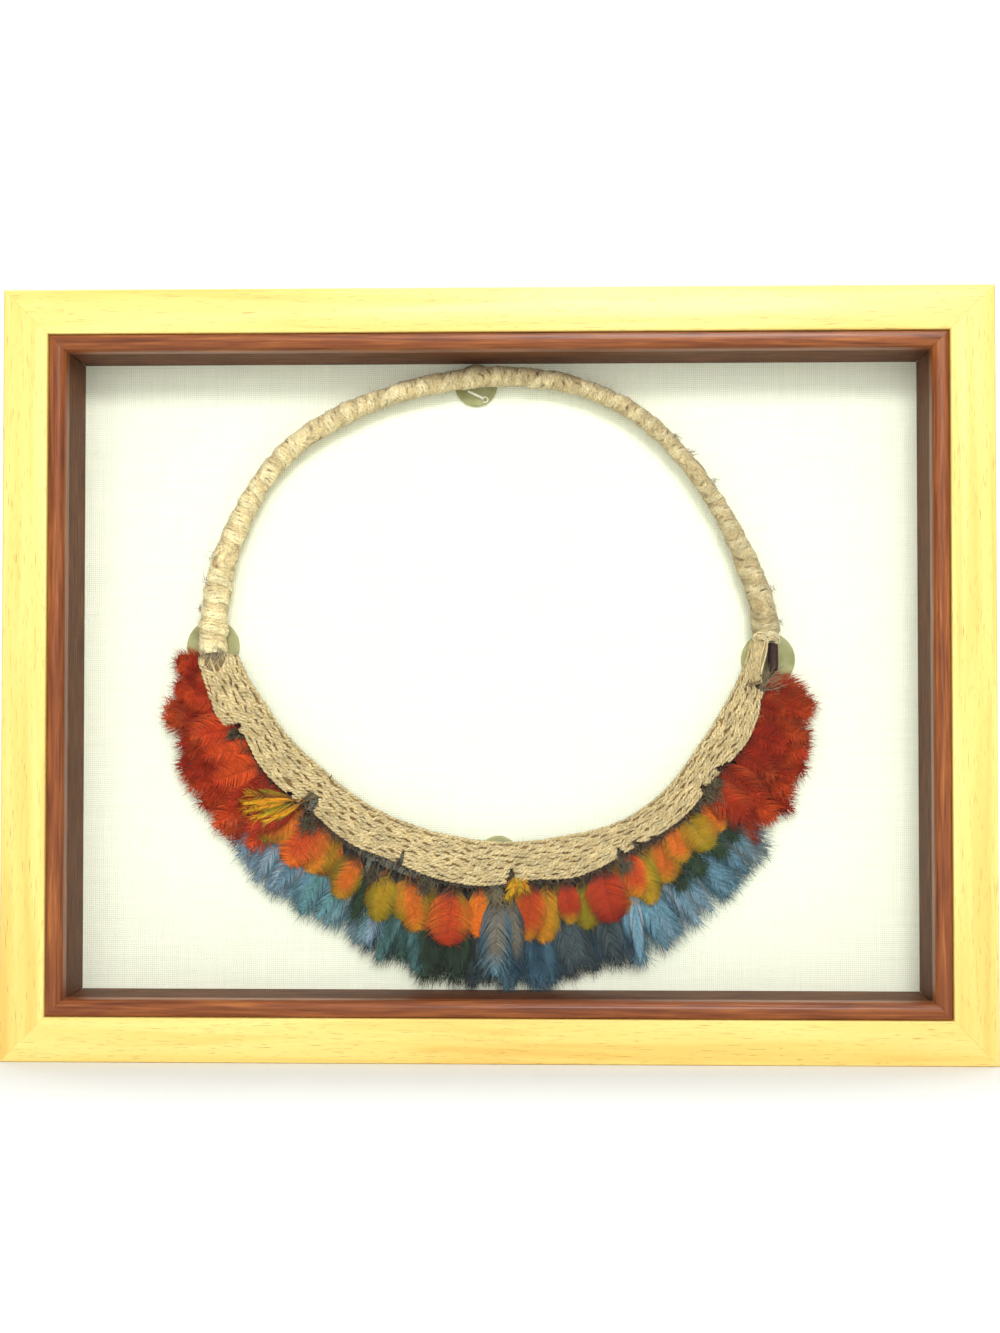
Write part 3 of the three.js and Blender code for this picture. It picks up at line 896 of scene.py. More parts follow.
def band_body(heap):
    """Inside of the crescent, which shows between the loops and in the notches, painted dark as painted
    shade.
    """
    angle = np.arange(BAND_FROM + 0.1, BAND_TO - 0.1, 0.35)
    section = np.concatenate([BAND_FACE + (0, 0.45), BAND_BACK])
    rings = [band_place(angle, 0.02 + 0.955 * part, y, BAND_SHARP) for part, y in section]
    # Painted shade: the darker tint stands for the shade in the gaps between the loops.
    tint = blend(HOLLOW, LOOP_DARK, 0.6)
    heap.add(np.stack(rings, axis=1), tube_faces(len(angle), len(section)), tint)


def twisted_cord(heap, path, spacing, seed, row):
    """Two strands twisted to the left along a path, flattened a little against the crescent."""
    along = np.gradient(path, axis=0)
    step = np.linalg.norm(along, axis=1)
    length = np.cumsum(step)
    along /= step[:, None]
    across = unit(np.cross(along, TO_BACK))
    up = np.cross(across, along)
    sides, rings = STRAND["sides"], np.arange(len(path))
    ease = np.minimum(1, np.minimum(rings, rings[::-1]) / 2 + 0.35)  # thinner at both ends
    pitch = STRAND["pitch"] * (1 + 0.1 * wander(seed, 0.0, 1))
    twist = 2 * np.pi * length / pitch + 1.3 * wander(seed + 1, length, 21) + seed
    for strand in (0, 1):
        turn = twist + strand * np.pi
        swing = across * np.cos(turn)[:, None] + 0.75 * up * np.sin(turn)[:, None]
        line = path + (spacing * STRAND["apart"])[:, None] * swing
        thick = spacing * STRAND["thick"] * (1 + 0.16 * wander(seed + strand, length, 4.3))
        points, faces = tube(line, thick * ease, sides)
        lump = 0.5 + 0.5 * wander(seed * 3 + strand, length, 6.1)
        base = blend(LOOP_TAN, LOOP_PALE, np.clip(lump + 0.1, 0, 1))
        # Painted shade: each strand is painted darker where it turns to the back of the twist, behind
        # the other strand.
        front = np.clip(-np.sin(turn), 0, 1)
        base = blend(blend(base, LOOP_DARK, 0.45), base, 0.35 + 0.65 * front)
        side = np.tile(np.cos(2 * np.pi * np.arange(sides) / sides), len(path))
        place = np.repeat(twist * pitch / 360 / (2 * np.pi), sides)
        spot = np.stack([place % 1, (row + 0.5 + 0.45 * side) / (BAND_ROWS + 4)], axis=1)
        heap.add(points, faces, np.repeat(base, sides, axis=0), spot)


def runs(mask):
    """Starts and ends of the stretches where mask holds."""
    edges = np.flatnonzero(np.diff(np.concatenate([[0], mask.astype(int), [0]])))
    return zip(edges[::2], edges[1::2])


def band_rows(heap):
    """The rows of twisted cord, which stop where a notch cuts into the crescent's outer edge."""
    angle = np.arange(BAND_FROM, BAND_TO, BAND_STEP)
    inner, outer = BAND_SOFT.inside(angle), BAND_SOFT.outside(angle)
    length = np.radians(angle) * 100
    spacing = (outer - inner) / (BAND_ROWS - 0.6)
    cord = np.clip(spacing, 0.75, 1.6)
    rows = [(k / (BAND_ROWS - 1), None) for k in range(BAND_ROWS)] + ROLLED_ROWS
    for row, (part, depth) in enumerate(rows):
        shift = 0.5 * wander(40 + row, length, 17) + 0.3 * wander(60 + row, length, 6)
        where = np.clip(part + shift / BAND_ROWS * (0.35 if part in (0, 1) else 1), 0.0, 1.0)
        y = np.interp(where, *BAND_FACE.T) if depth is None else np.full_like(where, depth)
        y = y + 0.22 * wander(80 + row, length, 11)
        path = part_gaps(polar(angle, inner + (0.025 + 0.95 * where) * (outer - inner), y))
        radius = np.hypot(path[:, 0] - CENTRE[0], path[:, 2] - CENTRE[1])
        kept = (radius < BAND_SHARP.outside(angle) + 0.25) | (part <= 0.5)
        for start, end in runs(kept):
            if end - start > 4:
                twisted_cord(heap, path[start:end], cord[start:end], row * 7 + start, row)


def band_ties(heap):
    """Netting at the left end, the tie and frayed loops at the right end, and loose fibres."""
    rng = np.random.default_rng(31)
    grey, tan = linear("#7d6b52"), linear("#cdb383")
    for k in range(13):
        start = np.array([-115.6 + 0.62 * k, 3.9, 156.6 + 0.25 * np.sin(k)])
        for lean in (-1, 1):
            reach = np.clip(8.6 - 1.0 * abs(k - 6), 2.5, 9)
            bend = np.linspace(0, 1, 9)[:, None]
            path = start + np.array([lean * 3.2, 0, -reach]) * bend
            path[:, 1] += 0.35 * np.sin(9 * bend[:, 0] + k)
            heap.add(*tube(path, 0.27, 5), blend(grey, tan, rng.uniform(0.2, 1.0)))
    for k in range(3):  # cord wound round the strap at the right end
        turn = np.linspace(0, 2 * np.pi, 15)[:, None]
        path = np.array([100.9, 5.2, 144.6 + 0.6 * k])
        path = path + np.array([2.5, 0, 0.9]) * np.cos(turn) + 3.5 * TO_BACK * np.sin(turn)
        path += rng.normal(0, 0.12, path.shape)
        heap.add(*tube(path, 0.28, 5), blend(HOLLOW, LOOP_TAN, rng.uniform(0.0, 0.8)))
    for k in range(4):  # cords that run down beside the cane end
        t = np.linspace(0, 1, 12)[:, None]
        top, foot = np.array([105.9 - 0.6 * k, 2.8, 161.5]), np.array([103.9 - 0.5 * k, 4.4, 148.5])
        path = top + (foot - top) * t + np.array([0.35, 0.2, 0]) * np.sin(5 * t + k)
        heap.add(*tube(path, 0.4, 5), blend(LOOP_DARK, LOOP_PALE, rng.uniform(0.2, 1)))
    for k in range(14):  # loops that leave the binding over the cane end
        turn = np.linspace(-0.3, np.pi + 0.3, 13)
        path = np.stack(
            [
                (107.4, 103.6)[k % 2] + (2.3 + 0.09 * k) * np.cos(turn) + rng.normal(0, 0.5),
                3.0 - 0.17 * k + 0.7 * np.cos(2 * turn),
                160.6 + 0.2 * k + (1.4 + 0.06 * k) * np.sin(turn + rng.normal(0, 0.25)),
            ],
            axis=1,
        )
        heap.add(*tube(path, 0.3, 5), blend(LOOP_TAN, linear("#efe0bb"), rng.uniform(0, 1)))
    for _ in range(260):  # loose fibres all over
        angle = rng.uniform(BAND_FROM + 1, BAND_TO - 1)
        part = rng.choice([0.0, 1.0, rng.uniform(0, 1)])
        start = band_place(angle, part, np.interp(part, *BAND_FACE.T) - 0.4)
        way = rng.normal(0, 1, 3) * (1, 0.35, 1)
        length = rng.uniform(0.9, 2.4)
        colour = blend(LOOP_DARK, LOOP_PALE, rng.uniform(0, 1))
        add_fibre(heap, start, way, length, 0.07, colour, rng)


def crescent():
    """The whole crescent: its dark body, its rows of cord, and its ties and loose fibres."""
    heap = Heap()
    band_body(heap)
    band_rows(heap)
    band_ties(heap)
    return heap


make_piece("looped_crescent", crescent(), LOOPED_FIBRE, "looped_fibre", "woven_band")


def white_stitch():
    """Twisted white thread from the hoop to a small loop on the top pad."""
    heap = Heap()
    white, thread = linear("#ece8d6"), 0.27  # mm, the radius of one strand
    t = np.linspace(0, 1, 40)
    straight = np.array([-12.2, 9.5, 261.9]) + np.array([6.0, 4.0, -2.4]) * t[:, None]
    for turn in (16 * t, 16 * t + np.pi):
        path = straight + 0.32 * np.stack([0 * t, np.cos(turn), np.sin(turn)], axis=1)
        heap.add(*tube(path, thread, 6), white)
    ring = np.linspace(-2.4, 3.2, 20)
    loop = np.stack([1.1 * np.cos(ring), 0.3 * np.sin(2 * ring), 1.1 * np.sin(ring)], axis=1)
    heap.add(*tube(loop + (-5.3, 13.3, 258.9), thread, 6), white)
    return heap


make_piece("white_stitch", white_stitch(), plant_fibre("white_cotton_thread", 0.2, 0.05), "linen")

# ---- feathers ----------------------------------------------------------------------------

DOWN, DOWN_PALE = linear("#3c3026"), linear("#806e58")
QUILL = linear("#4b3d2e")


class Vane:
    """How one kind of feather is shaped, and how its barbs lie."""

    def __init__(self, power, blunt, advance, barbs, pull, body, ruffle, wave, hair, fringe):
        self.power = power  # over 1 puts the widest place nearer the tip
        self.blunt = blunt  # the smaller, the fuller the outline
        self.advance = advance  # how far a barb sweeps forward, as part of the vane's length
        self.barbs = barbs  # how many on each side
        self.pull = pull  # how strongly neighbouring barbs clump
        self.body = body  # width of the closed leaf behind the barbs, as part of the vane's
        self.ruffle = ruffle  # how unevenly barbs end, lie and take their colour
        self.wave = wave  # how far the vane ripples, in mm
        self.hair = hair  # part of the barbs that stray from the outline
        self.fringe = fringe  # loose ends round the tip: how many, and how many mm long


VANES = {
    "flame": Vane(1.45, 0.52, 0.3, 54, 0.06, 0.8, 0.35, 0.35, 0.12, (18, 1.6)),
    "blue": Vane(1.2, 0.55, 0.36, 50, 0.2, 0.6, 0.7, 0.45, 0.3, (24, 5.6)),
    "red": Vane(1.4, 0.45, 0.34, 46, 0.15, 0.6, 0.6, 0.7, 0.45, (26, 4.8)),
    "tuft": Vane(1.5, 0.6, 0.4, 22, 0.75, 0.3, 1.0, 0.6, 0.2, (9, 4.5)),
}
BARB_POINTS, BARB_SIDES = 4, 3
CROWDING = 1.35  # over 1 sets the barbs closer together towards the tip
CLUMPS = 0.22  # chance that a new clump of barbs starts at a barb


def outline_of(vane, part):
    """Half width of the vane at each part of its length, from 0 to 1."""
    return np.sin(np.pi * np.clip(part, 0, 1) ** vane.power) ** vane.blunt


def vane_tint(look, part, across, rng):
    """Colour from the down at the root through the body to the rim and the tip."""
    body, rim, tip = look
    colour = blend(DOWN, body, smooth(0.13, 0.36, part + 0.14 * (rng.random(part.shape) - 0.5)))
    colour = blend(colour, rim, 0.95 * smooth(0.3, 0.8, np.abs(across)) * smooth(0.15, 0.4, part))
    colour = blend(colour, tip, 0.95 * smooth(0.66, 0.97, part))
    return colour


def mid_line(root, tip, bow, rise, count):
    """Curved line of the shaft, and the part of its length at each point."""
    t = np.linspace(0, 1, count)
    straight = tip - root
    side = unit(np.cross(straight, TO_BACK))
    line = root + straight * t[:, None] + side * (bow * np.sin(np.pi * t))[:, None]
    line[:, 1] = root[1] + (tip[1] - root[1]) * smooth(0, 0.45, t) - rise * np.sin(np.pi * t)
    return t, line


def add_feather(heap, cell, kind, root, tip, width, look, rng, bow, rise):
    """One feather: its shaft, a closed leaf behind, and closed three-sided barbs each side. bow
    bends it sideways and rise towards the viewer, both in mm."""
    vane = VANES[kind]
    t, line = mid_line(root, tip, bow, rise, 24)
    across = unit(np.cross(np.gradient(line, t, axis=0), TO_BACK))
    half_width = 0.5 * width
    tilt = rng.normal(0, 0.09)  # the vane leans a little to one side

    def place(part, offset, lift):
        """Points at a part of the shaft's length, so many mm beside it and in front of it."""
        centre, sideways = (
            np.stack([np.interp(part, t, rows[:, i]) for i in range(3)], axis=-1)
            for rows in (line, across)
        )
        forward = lift - 0.45 * (offset / half_width) ** 2 + tilt * offset
        return centre + sideways * offset[..., None] - TO_BACK * forward[..., None]

    def spot(part, offset):
        u = cell[0] + cell[2] * (0.5 + 0.46 * np.clip(offset / (1.1 * half_width), -1, 1))
        v = cell[1] + cell[3] * (0.03 + 0.94 * np.clip(part, 0, 1))
        return np.stack([u, v], axis=-1)

    gloss = 1 + 0.08 * rng.normal()
    look = [np.clip(colour * gloss, 0, 1) for colour in look]
    # Leaf behind the barbs: its left edge, front, right edge and back, its tint painted darker as
    # painted shade under the barbs.
    part = np.linspace(0.1, 0.93, 12)
    half = half_width * vane.body * outline_of(vane, part) + 0.05
    offset = half[:, None] * (-1, 0, 1, 0)
    lift = np.broadcast_to((-0.28, -0.2, -0.28, -0.36), offset.shape)
    parts = np.broadcast_to(part[:, None], offset.shape)
    tint = vane_tint(look, parts, offset / half_width, rng) * 0.78
    heap.add(place(parts, offset, lift), tube_faces(len(part), 4), tint, spot(parts, offset))
    # Shaft.
    part = np.linspace(0.0, 0.9, 12)
    stem, faces = tube(place(part, 0 * part, 0 * part + 0.08), 0.22 * (1 - 0.7 * part), 5)
    tint = blend(QUILL, look[0], np.clip(0.35 + 0.6 * part, 0, 1))
    parts = np.repeat(part, 5)
    heap.add(stem, faces, np.repeat(tint, 5, axis=0), spot(parts, 0 * parts))
    # Barbs.
    count = vane.barbs
    q = 1 - (1 - (np.arange(count) + rng.uniform(0.2, 0.8, count)) / count) ** CROWDING
    spacing = (0.1 + 0.9 * (1 - q) ** 0.26) * np.linalg.norm(tip - root) / count
    clump = np.cumsum(rng.random((2, count)) < CLUMPS, axis=1)
    tau = np.linspace(0, 1, BARB_POINTS)
    thick = (0.1 + 0.9 * spacing)[:, None, None] * (1 - 0.84 * tau**1.3)[:, None]
    firsts = BARB_POINTS * BARB_SIDES * np.arange(count)[:, None, None]
    faces = (tube_faces(BARB_POINTS, BARB_SIDES) + firsts).reshape(-1, 4)
    for side, groups in zip((-1, 1), clump):
        start = 0.11 + 0.84 * q
        reach = start + vane.advance * (1 - 0.83 * q)
        reach = np.minimum(reach + vane.ruffle * rng.normal(0, 0.015, count), 1.0)
        mean = np.array([reach[groups == group].mean() for group in groups])
        reach = reach + vane.pull * (mean - reach)
        end = half_width * outline_of(vane, np.minimum(reach, 0.997))
        end = end * (1 + vane.ruffle * rng.normal(0, 0.06, count))
        stray = (rng.random(count) < vane.hair) * rng.uniform(0.3, 1.0, count)
        end = end * (1 + 0.16 * stray) + rng.normal(0, 0.35, count) * stray
        reach = reach + 0.1 * stray
        lean = rng.normal(0, 1, count + 2 if groups[0] else groups[-1] + 1)[groups]
        part = start[:, None] + (reach - start)[:, None] * tau**1.25
        offset = side * end[:, None] * (1 - (1 - tau) ** 1.35)
        lift = vane.ruffle * (0.16 * lean + rng.normal(0, 0.06, count))[:, None] * tau
        lift = lift + vane.wave * (0.5 * np.sin(5 * q + rng.uniform(0, 6)))[:, None] * tau**2
        centre = place(part, offset, lift)
        wide = unit(np.cross(unit(np.gradient(centre, axis=1)), -TO_BACK)) * thick * 0.5
        corners = np.stack([centre + wide, centre - wide, centre - 0.12 * TO_BACK], axis=2)
        # Random streaks, and painted light: barbs that lean forward are painted lighter, those that lean
        # back darker.
        streak = 1 + vane.ruffle * (0.2 * rng.normal(0, 1, count) + 0.1 * lean)
        tint = vane_tint(look, part, offset / half_width, rng)
        tint = np.clip(tint * np.clip(streak, 0.5, 1.5)[:, None, None], 0, 1)
        tints, spots = (
            np.repeat(rows[:, :, None], BARB_SIDES, axis=2) for rows in (tint, spot(part, offset))
        )
        heap.add(corners, faces, tints, spots)


def fringe(heap, kind, root, tip, width, colour, rng):
    """Loose barb ends that stand out round a feather's tip."""
    count, length = VANES[kind].fringe
    along = unit(tip - root)
    side = np.cross(along, TO_BACK)
    for _ in range(count):
        place = rng.uniform(-1, 1)
        start = tip - along * (1.5 + 0.5 * width * place**2) + side * 0.42 * width * place
        way = along + side * (0.75 * place + rng.normal(0, 0.2)) + rng.normal(0, 0.12, 3)
        tone = np.clip(colour * rng.uniform(0.7, 1.3), 0, 1)
        thick = 0.06 + 0.01 * length
        add_fibre(heap, start, way, rng.uniform(0.5, 1) * length, thick, tone, rng, 0.15)


def atlas_cell(index, count):
    """Rectangle of the atlas for one of count feathers: left, bottom, width and height."""
    columns = math.ceil(math.sqrt(count))
    rows = math.ceil(count / columns)
    return (index % columns / columns, index // columns / rows, 1 / columns, 1 / rows)


PAINT = {
    name: linear(colour)
    for name, colour in {
        "red": "#ba3818",
        "scarlet": "#cc4a1b",
        "orange": "#e8741f",
        "amber": "#d28c1e",
        "yellow": "#bd931c",
        "olive": "#93801c",
        "lime": "#9b891a",
        "brown": "#85531f",
        "smoke": "#7b7468",
        "pale_blue": "#8a9aa8",
        "sky": "#648899",
        "mid_blue": "#4b6d7e",
        "deep_blue": "#2a4354",
        "slate": "#444f53",
        "teal": "#5f8b8c",
        "dark_teal": "#3b5957",
        "bottle": "#31442f",
        "black_green": "#263128",
        "blood": "#98290f",
        "crimson": "#982610",
        "coral": "#bb4a22",
    }.items()
}
class Placed:
    """A feather with a place of its own: angle of its root and how far that is from the centre, the
    same of its tip, its width, the paint of its body, rim and tip, and its depth."""

    def __init__(self, root, base, tip, reach, width, body, rim, end, depth):
        self.root, self.base = root, base
        self.tip, self.reach = tip, reach
        self.width, self.depth = width, depth
        self.paint = body, rim, end


def placed(*rows):
    return [Placed(*row) for row in rows]


# Small flame-coloured feathers. Their depth is how far they stand forward of the layer's back.
FLAMES = placed(
    (232.0, 101.0, 235.0, 121.0, 12.0, "orange", "yellow", "amber", 0.0),
    (225.8, 101.8, 222.4, 124.0, 14.0, "orange", "amber", "olive", 0.9),
    (228.6, 101.0, 230.5, 124.0, 16.0, "scarlet", "orange", "orange", 1.4),
    (241.5, 104.7, 241.5, 123.5, 12.0, "orange", "lime", "yellow", 1.2),
    (252.3, 105.0, 254.2, 121.6, 11.0, "amber", "brown", "olive", 0.2),
    (248.8, 105.0, 250.0, 125.6, 11.5, "yellow", "lime", "lime", 1.3),
    (252.8, 104.7, 257.5, 125.0, 12.5, "orange", "yellow", "amber", 0.8),
    (268.9, 103.0, 268.6, 124.0, 9.0, "orange", "amber", "orange", 0.3),
    (262.8, 103.8, 263.3, 128.4, 17.5, "scarlet", "orange", "red", 1.5),
    (280.7, 102.8, 277.3, 126.5, 13.0, "scarlet", "orange", "amber", 1.0),
    (283.8, 105.0, 280.3, 128.6, 11.5, "amber", "yellow", "amber", 0.2),
    (291.0, 108.0, 288.3, 127.4, 11.0, "lime", "yellow", "lime", 0.2),
    (287.9, 106.2, 286.0, 123.3, 9.0, "red", "scarlet", "yellow", 1.2),
    (296.0, 106.0, 293.4, 128.5, 16.5, "red", "scarlet", "crimson", 1.4),
    (303.0, 105.5, 299.5, 124.0, 10.0, "scarlet", "orange", "amber", 1.2),
    (304.9, 107.5, 300.8, 129.2, 10.5, "yellow", "lime", "yellow", 0.7),
    (309.8, 108.3, 304.8, 125.0, 13.0, "orange", "yellow", "yellow", 0.4),
    (312.8, 108.4, 309.7, 122.5, 11.0, "orange", "amber", "yellow", 0.9),
    (317.6, 109.0, 315.0, 126.0, 14.5, "yellow", "amber", "lime", 1.3),
    (322.0, 110.6, 319.0, 124.5, 9.0, "orange", "scarlet", "amber", 0.5),
)
# Narrow loose tufts, with depth as Y.
TUFTS = placed(
    (223.0, 103.5, 217.6, 121.0, 3.6, "amber", "yellow", "yellow", 3.7),
    (223.4, 102.8, 219.6, 120.5, 3.2, "olive", "amber", "amber", 3.9),
    (223.6, 102.4, 214.6, 116.5, 5.0, "brown", "olive", "amber", 4.0),
    (224.3, 101.5, 221.4, 118.0, 3.0, "amber", "olive", "yellow", 4.1),
    (223.9, 102.0, 216.2, 119.5, 2.4, "amber", "amber", "yellow", 3.6),
    (276.6, 99.0, 277.4, 107.5, 3.6, "yellow", "amber", "yellow", 4.4),
    (277.4, 99.5, 279.4, 106.5, 3.0, "amber", "yellow", "yellow", 4.6),
    (278.0, 100.5, 274.4, 109.2, 3.6, "yellow", "amber", "yellow", 4.5),
    (278.6, 100.5, 275.2, 107.6, 3.0, "amber", "amber", "yellow", 4.7),
)
# Reach of the blue row by angle, then its paint: from which angle on, and the pair of body and rim.
BLUE_REACH = np.array(
    [(222, 137), (236, 135.8), (250, 137.5), (262, 142.5), (276, 145)]
    + [(285, 142.8), (294, 146), (310, 144.5), (323, 142.5)]
)
BLUE_PAINT = (
    (222, ("pale_blue", "sky")),
    (229, ("sky", "pale_blue")),
    (235, ("teal", "sky")),
    (241, ("teal", "pale_blue")),
    (245.5, ("pale_blue", "sky")),
    (249.5, ("deep_blue", "bottle")),
    (253, ("dark_teal", "bottle")),
    (256, ("dark_teal", "teal")),
    (260, ("black_green", "bottle")),
    (265, ("slate", "black_green")),
    (269.5, ("mid_blue", "slate")),
    (275.5, ("deep_blue", "mid_blue")),
    (279, ("mid_blue", "deep_blue")),
    (283, ("slate", "slate")),
    (289, ("deep_blue", "slate")),
    (293.5, ("sky", "mid_blue")),
    (303, ("sky", "pale_blue")),
    (311, ("sky", "mid_blue")),
    (317, ("sky", "smoke")),
)
# Single feathers in front of the blue row, with depth as Y.
SINGLES = placed(
    (272.0, 103.0, 271.6, 139.0, 13.0, "smoke", "mid_blue", "sky", 6.2),
    (274.8, 103.0, 275.4, 136.0, 8.0, "smoke", "slate", "deep_blue", 6.6),
    (245.0, 104.0, 245.6, 128.0, 8.0, "bottle", "black_green", "bottle", 8.6),
    (301.0, 108.0, 294.6, 147.5, 5.0, "sky", "pale_blue", "sky", 7.9),
    (298.0, 108.0, 294.4, 139.0, 5.0, "sky", "mid_blue", "deep_blue", 8.1),
    (311.5, 109.0, 311.0, 132.0, 12.0, "bottle", "black_green", "bottle", 8.4),
    (308.5, 108.0, 306.8, 131.5, 11.0, "black_green", "bottle", "bottle", 8.6),
    (318.5, 110.0, 315.4, 132.0, 12.0, "bottle", "dark_teal", "bottle", 8.4),
    (322.5, 111.0, 319.0, 131.0, 11.0, "black_green", "bottle", "bottle", 8.6),
)
# Reach of the red feathers by angle.
RED_REACH = np.array(
    [(186, 119), (190, 129), (195, 131), (200, 134.5), (204, 137), (215, 135.5), (223, 133)]
    + [(321, 138), (328, 141.5), (336, 140), (344, 136), (350, 131)]
)
BODY_REDS = ["red", "blood", "crimson", "scarlet"]
RIM_REDS = ["crimson", "scarlet", "coral"]
TIP_REDS = ["scarlet", "crimson", "coral", "red"]
# From and to of the four groups that the front and back rows are split into.
SECTORS = ((222.9, 247.9), (248.2, 272.9), (273.2, 297.9), (298.2, 322.5))


def in_sector(number, angle):
    """Whether a feather rooted at this angle belongs to the group of this number."""
    return number == sum(angle > high for _, high in SECTORS[:-1])


def paint(*names):
    """Body, rim and tip colours by name."""
    return [np.array(PAINT[name]) for name in names]


def loose_down(heap, low, high, count, rng, depth):
    """Grey brown down that shows beyond the crescent's edge."""
    for _ in range(count):
        angle = rng.uniform(low, high)
        edge = float(BAND_SHARP.outside(angle))
        start = polar(angle, edge - 1.5, rng.uniform(*depth))
        away = polar(angle + rng.normal(0, 4), edge + 8, start[1]) - start
        colour = blend(DOWN, DOWN_PALE, rng.uniform(0, 1) ** 1.6)
        add_fibre(heap, start, away, rng.uniform(2.0, 6.0), 0.22, colour, rng, 0.4)


# Thicker clumps of down: angle, radius, spread, depth as Y, and how dark.
DOWN_PATCHES = (
    (203.5, 108.0, 3.2, 5.2, 0.75),
    (228.0, 104.0, 4.2, 4.8, 0.7),
    (245.5, 107.5, 3.0, 6.0, 0.8),
    (257.0, 104.5, 3.0, 4.6, 0.7),
    (272.5, 106.5, 3.2, 5.6, 0.2),
    (300.0, 108.5, 2.6, 5.6, 0.6),
    (322.8, 110.5, 4.2, 4.8, 0.55),
    (325.5, 108.0, 2.8, 4.6, 0.6),
)


def down_patch(heap, angle, radius, spread, depth, dark, rng):
    """One clump of down at the crescent's edge, which points outwards."""
    middle = polar(angle, radius, depth)
    away = unit(polar(angle, radius + 1, depth) - middle)
    for _ in range(110):
        start = middle + rng.normal(0, spread * 0.5, 3) * (1, 0.25, 1)
        tone = np.clip(dark + rng.normal(0, 0.2), 0, 1)
        way = away + rng.normal(0, 0.5, 3) * (1, 0.3, 1)
        colour = blend(linear("#94876a"), linear("#33281f"), tone)
        add_fibre(heap, start, way, rng.uniform(1.5, 4.5), 0.2, colour, rng, 0.4)


def flame_group(number):
    """One group of the front row: its feathers, loose tufts and down."""
    rng = np.random.default_rng(100 + number)
    heap = Heap()
    rows = [(row, "flame", 8.1 - row.depth) for row in FLAMES if in_sector(number, row.root)]
    for row, _, depth in list(rows):  # a second feather half hidden behind each
        turn = rng.uniform(-2.6, 2.6)
        names = rng.permutation(("amber", "orange", "yellow", "brown"))[:3]
        reach, width = row.reach - rng.uniform(1, 5), row.width * 0.95
        behind = Placed(row.root + turn, row.base, row.tip + turn, reach, width, *names, depth)
        rows.insert(0, (behind, "behind", depth + 0.9))
    rows += [(row, "tuft", row.depth) for row in TUFTS if in_sector(number, row.root)]
    for i, (row, kind, depth) in enumerate(rows):
        root_depth = depth if kind == "tuft" else 7.4
        root = polar(row.root, row.base - 2.5, root_depth + rng.uniform(0, 0.6))
        tip = polar(row.tip, row.reach, depth)
        # Painted shade: the feather half hidden behind is painted darker.
        shade = 0.72 if kind == "behind" else 1
        look = [colour * shade for colour in paint(*row.paint)]
        cell = atlas_cell(i, len(rows))
        vane, width = ("tuft", row.width) if kind == "tuft" else ("flame", row.width * 1.08)
        add_feather(heap, cell, vane, root, tip, width, look, rng, rng.normal(0, 0.5), 0.4)
        fringe(heap, vane, root, tip, width, look[2], rng)
    loose_down(heap, *SECTORS[number], 340, rng, (4.8, 7.4))
    for patch in DOWN_PATCHES:
        if in_sector(number, patch[0]):
            down_patch(heap, *patch, rng)
    return heap


def blue_paint(angle, rng):
    """Body, rim and tip of a blue feather, from its stretch of the row or the next one."""
    reached = [names for start, names in BLUE_PAINT if start <= angle + rng.normal(0, 1.2)]
    body, rim = paint(*(reached[-1] if reached else BLUE_PAINT[0][1]))
    if rng.random() < 0.3:
        body, rim = rim, body
    return body, rim, blend(body, rim, 0.5)


def blue_group(number):
    """One group of the back row, in three layers, with the single feathers in front of it."""
    rng = np.random.default_rng(200 + number)
    heap = Heap()
    low, high = SECTORS[number]
    rows = []
    for layer, pitch in ((2, 2.9), (1, 2.5), (0, 2.7)):
        for angle in np.arange(low + 0.8 + 0.5 * layer, high - 0.4, pitch):
            at = angle + rng.uniform(-0.5, 0.5)
            reach = np.interp(at, *BLUE_REACH.T) - (0, 3.5, 1.0)[layer] + rng.normal(0, 1.3)
            lean = rng.normal(0, 1.2) - 0.1 * (at - 272) / 5
            y = 9.6 + 1.3 * layer
            tip = polar(at + lean, reach, y - 0.3 + rng.uniform(0, 0.6))
            root = polar(at, 100.5, 9.2 + layer)
            rows.append((root, tip, rng.uniform(8, 11), blue_paint(at, rng), rng.normal(0, 1.0)))
    for row in SINGLES:
        if in_sector(number, row.root):
            tip = polar(row.tip, row.reach, row.depth)
            root = polar(row.root, row.base, max(7.2, row.depth))
            rows.append((root, tip, row.width, paint(*row.paint), 0.6))
    for i, (root, tip, width, look, bow) in enumerate(rows):
        add_feather(heap, atlas_cell(i, len(rows)), "blue", root, tip, width, look, rng, bow, 0.2)
        fringe(heap, "blue", root, tip, width, look[2], rng)
    return heap


def red_group(low, high, seed, tone):
    """Red feathers of one side in three layers, and their down. tone is painted light: over 1 it
    brightens them and under 1 darkens them, as one side is lit more than the other.
    """
    rng = np.random.default_rng(seed)
    heap = Heap()
    rows = []
    for layer, pitch, short in ((2, 2.6, 1.0), (1, 2.3, 3.5), (0, 2.9, 11.0)):
        for angle in np.arange(low + 0.5 + 0.6 * layer, high, pitch):
            at = angle + rng.uniform(-0.6, 0.6)
            reach = np.interp(at, *RED_REACH.T) - short + rng.normal(0, 1.5)
            root = polar(at, float(BAND_SOFT.outside(at)) - 5.0, 8.2 + 1.3 * layer)
            tip = polar(at + rng.normal(0, 2.2), reach, 5.6 + 2.5 * layer + rng.uniform(-0.6, 0.6))
            names = [rng.choice(reds) for reds in (BODY_REDS, RIM_REDS, TIP_REDS)]
            look = [colour * tone for colour in paint(*names)]
            rows.append((root, tip, rng.uniform(10.5, 15.5), look, rng.normal(0, 1.6)))
    for i, (root, tip, width, look, bow) in enumerate(rows):
        cell, rise = atlas_cell(i, len(rows)), rng.uniform(0, 1.0)
        add_feather(heap, cell, "red", root, tip, width, look, rng, bow, rise)
        fringe(heap, "red", root, tip, width, look[2], rng)
    loose_down(heap, low, high, 160, rng, (5.6, 8.0))
    return heap


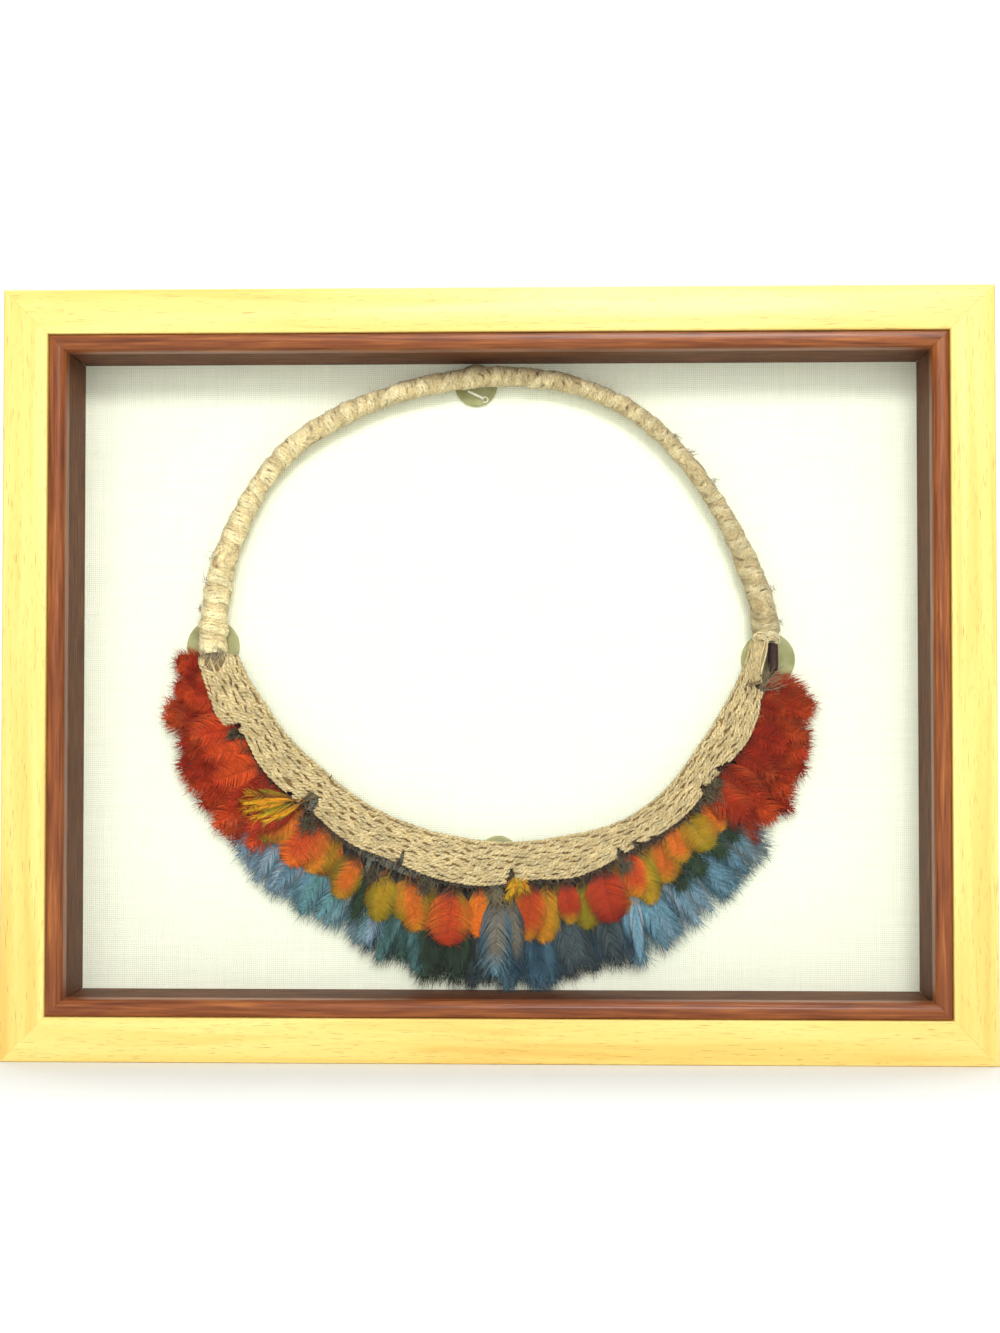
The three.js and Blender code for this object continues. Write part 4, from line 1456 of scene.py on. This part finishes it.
def grey_tuft(heap):
    """Bundle of grey down that hangs out under the cane end at the right."""
    rng = np.random.default_rng(71)
    for _ in range(150):
        start = np.array([103.5, 7.5, 142.0]) + rng.normal(0, 0.9, 3)
        end = np.array([rng.uniform(105.5, 113), rng.uniform(4.6, 7), rng.uniform(142, 151.5)])
        colour = blend(linear("#a89878"), linear("#6a5b46"), rng.uniform(0, 1))
        add_fibre(heap, start, end - start, np.linalg.norm(end - start), 0.26, colour, rng, 0.2)
    return heap


def feather_row(colour, place, heap):
    """One group as a piece that stands for its CAD node."""
    name, node_name = f"{colour}_row_{place}", f"{colour}_feathers_{place}"
    make_piece(name, heap, FEATHER, f"{colour}_feather", node_name)


for number in range(len(SECTORS)):
    feather_row("flame", number + 1, flame_group(number))
    feather_row("blue", number + 1, blue_group(number))
# Painted light: the left reds are painted brighter and the right ones darker.
feather_row("red", "left", red_group(188.6, 222.4, 301, 1.05))
feather_row("red", "right", grey_tuft(red_group(323.4, 349.6, 302, 0.84)))

# ---- stage and light ---------------------------------------------------------------------


def backdrop():
    """White sheet: the floor at z = 0 that sweeps up into a wall behind."""
    sweep, half_width = 350, 1800  # mm
    bend = [
        (450 + sweep * np.sin(t), sweep - sweep * np.cos(t)) for t in np.linspace(0, np.pi / 2, 17)
    ]
    profile = [(-1600.0, 0.0), *bend, (800.0, 2200.0)]
    points = [(x, y, z) for y, z in profile for x in (-half_width, half_width)]
    faces = np.arange(len(profile) - 1)[:, None] * 2 + (0, 1, 3, 2)
    mesh = bpy.data.meshes.new("white_sweep")
    mesh.from_pydata((np.array(points) * MM).tolist(), [], faces.tolist())
    for face in mesh.polygons:
        face.use_smooth = True
    return mesh


def paper_white():
    """Matt white background paper, a little grey."""
    material, tree = new_material("white_backdrop_paper")
    shader = node(tree, "ShaderNodeBsdfPrincipled", Base_Color=rgba("#d8d9d5"), Roughness=0.9)
    finish_material(tree, shader)
    return material


sheet = bpy.data.objects.new("white_sweep", backdrop())
bpy.context.scene.collection.objects.link(sheet)
sheet.data.materials.append(paper_white())


def area_light(name, place, target, size, power):
    """A white rectangular lamp that faces its target: metres and watts."""
    lamp = bpy.data.lights.new(name, "AREA")
    lamp.shape = "RECTANGLE"
    lamp.size, lamp.size_y = size
    lamp.energy = power
    made = bpy.data.objects.new(name, lamp)
    bpy.context.scene.collection.objects.link(made)
    made.location = place
    made.rotation_euler = (Vector(target) - Vector(place)).to_track_quat("-Z", "Y").to_euler()
    return made


# Soft and mostly frontal, with some light from above that gives the hoop its shadow.
area_light("key", (0.22, -1.6, 0.9), (0, 0, 0.15), (0.5, 0.35), 15.5)
area_light("ceiling", (0.3, -0.7, 1.7), (0, 0, 0.1), (0.7, 0.5), 7)
front = area_light("front", (-0.1, -2.2, 0.5), (0, 0, 0.15), (2.2, 1.6), 31)
front.visible_glossy = False  # keeps its mirror image out of the glass
area_light("wall", (0.1, 0.25, 1.9), (0.1, 0.75, 0.6), (1.6, 0.4), 24)
world = bpy.data.worlds.new("studio")
world.use_nodes = True
world.node_tree.nodes.clear()
sky = node(world.node_tree, "ShaderNodeBackground", Color=(1, 1, 1, 1), Strength=0.47)
node(world.node_tree, "ShaderNodeOutputWorld", Surface=sky)
bpy.context.scene.world = world

bpy.context.view_layer.update()
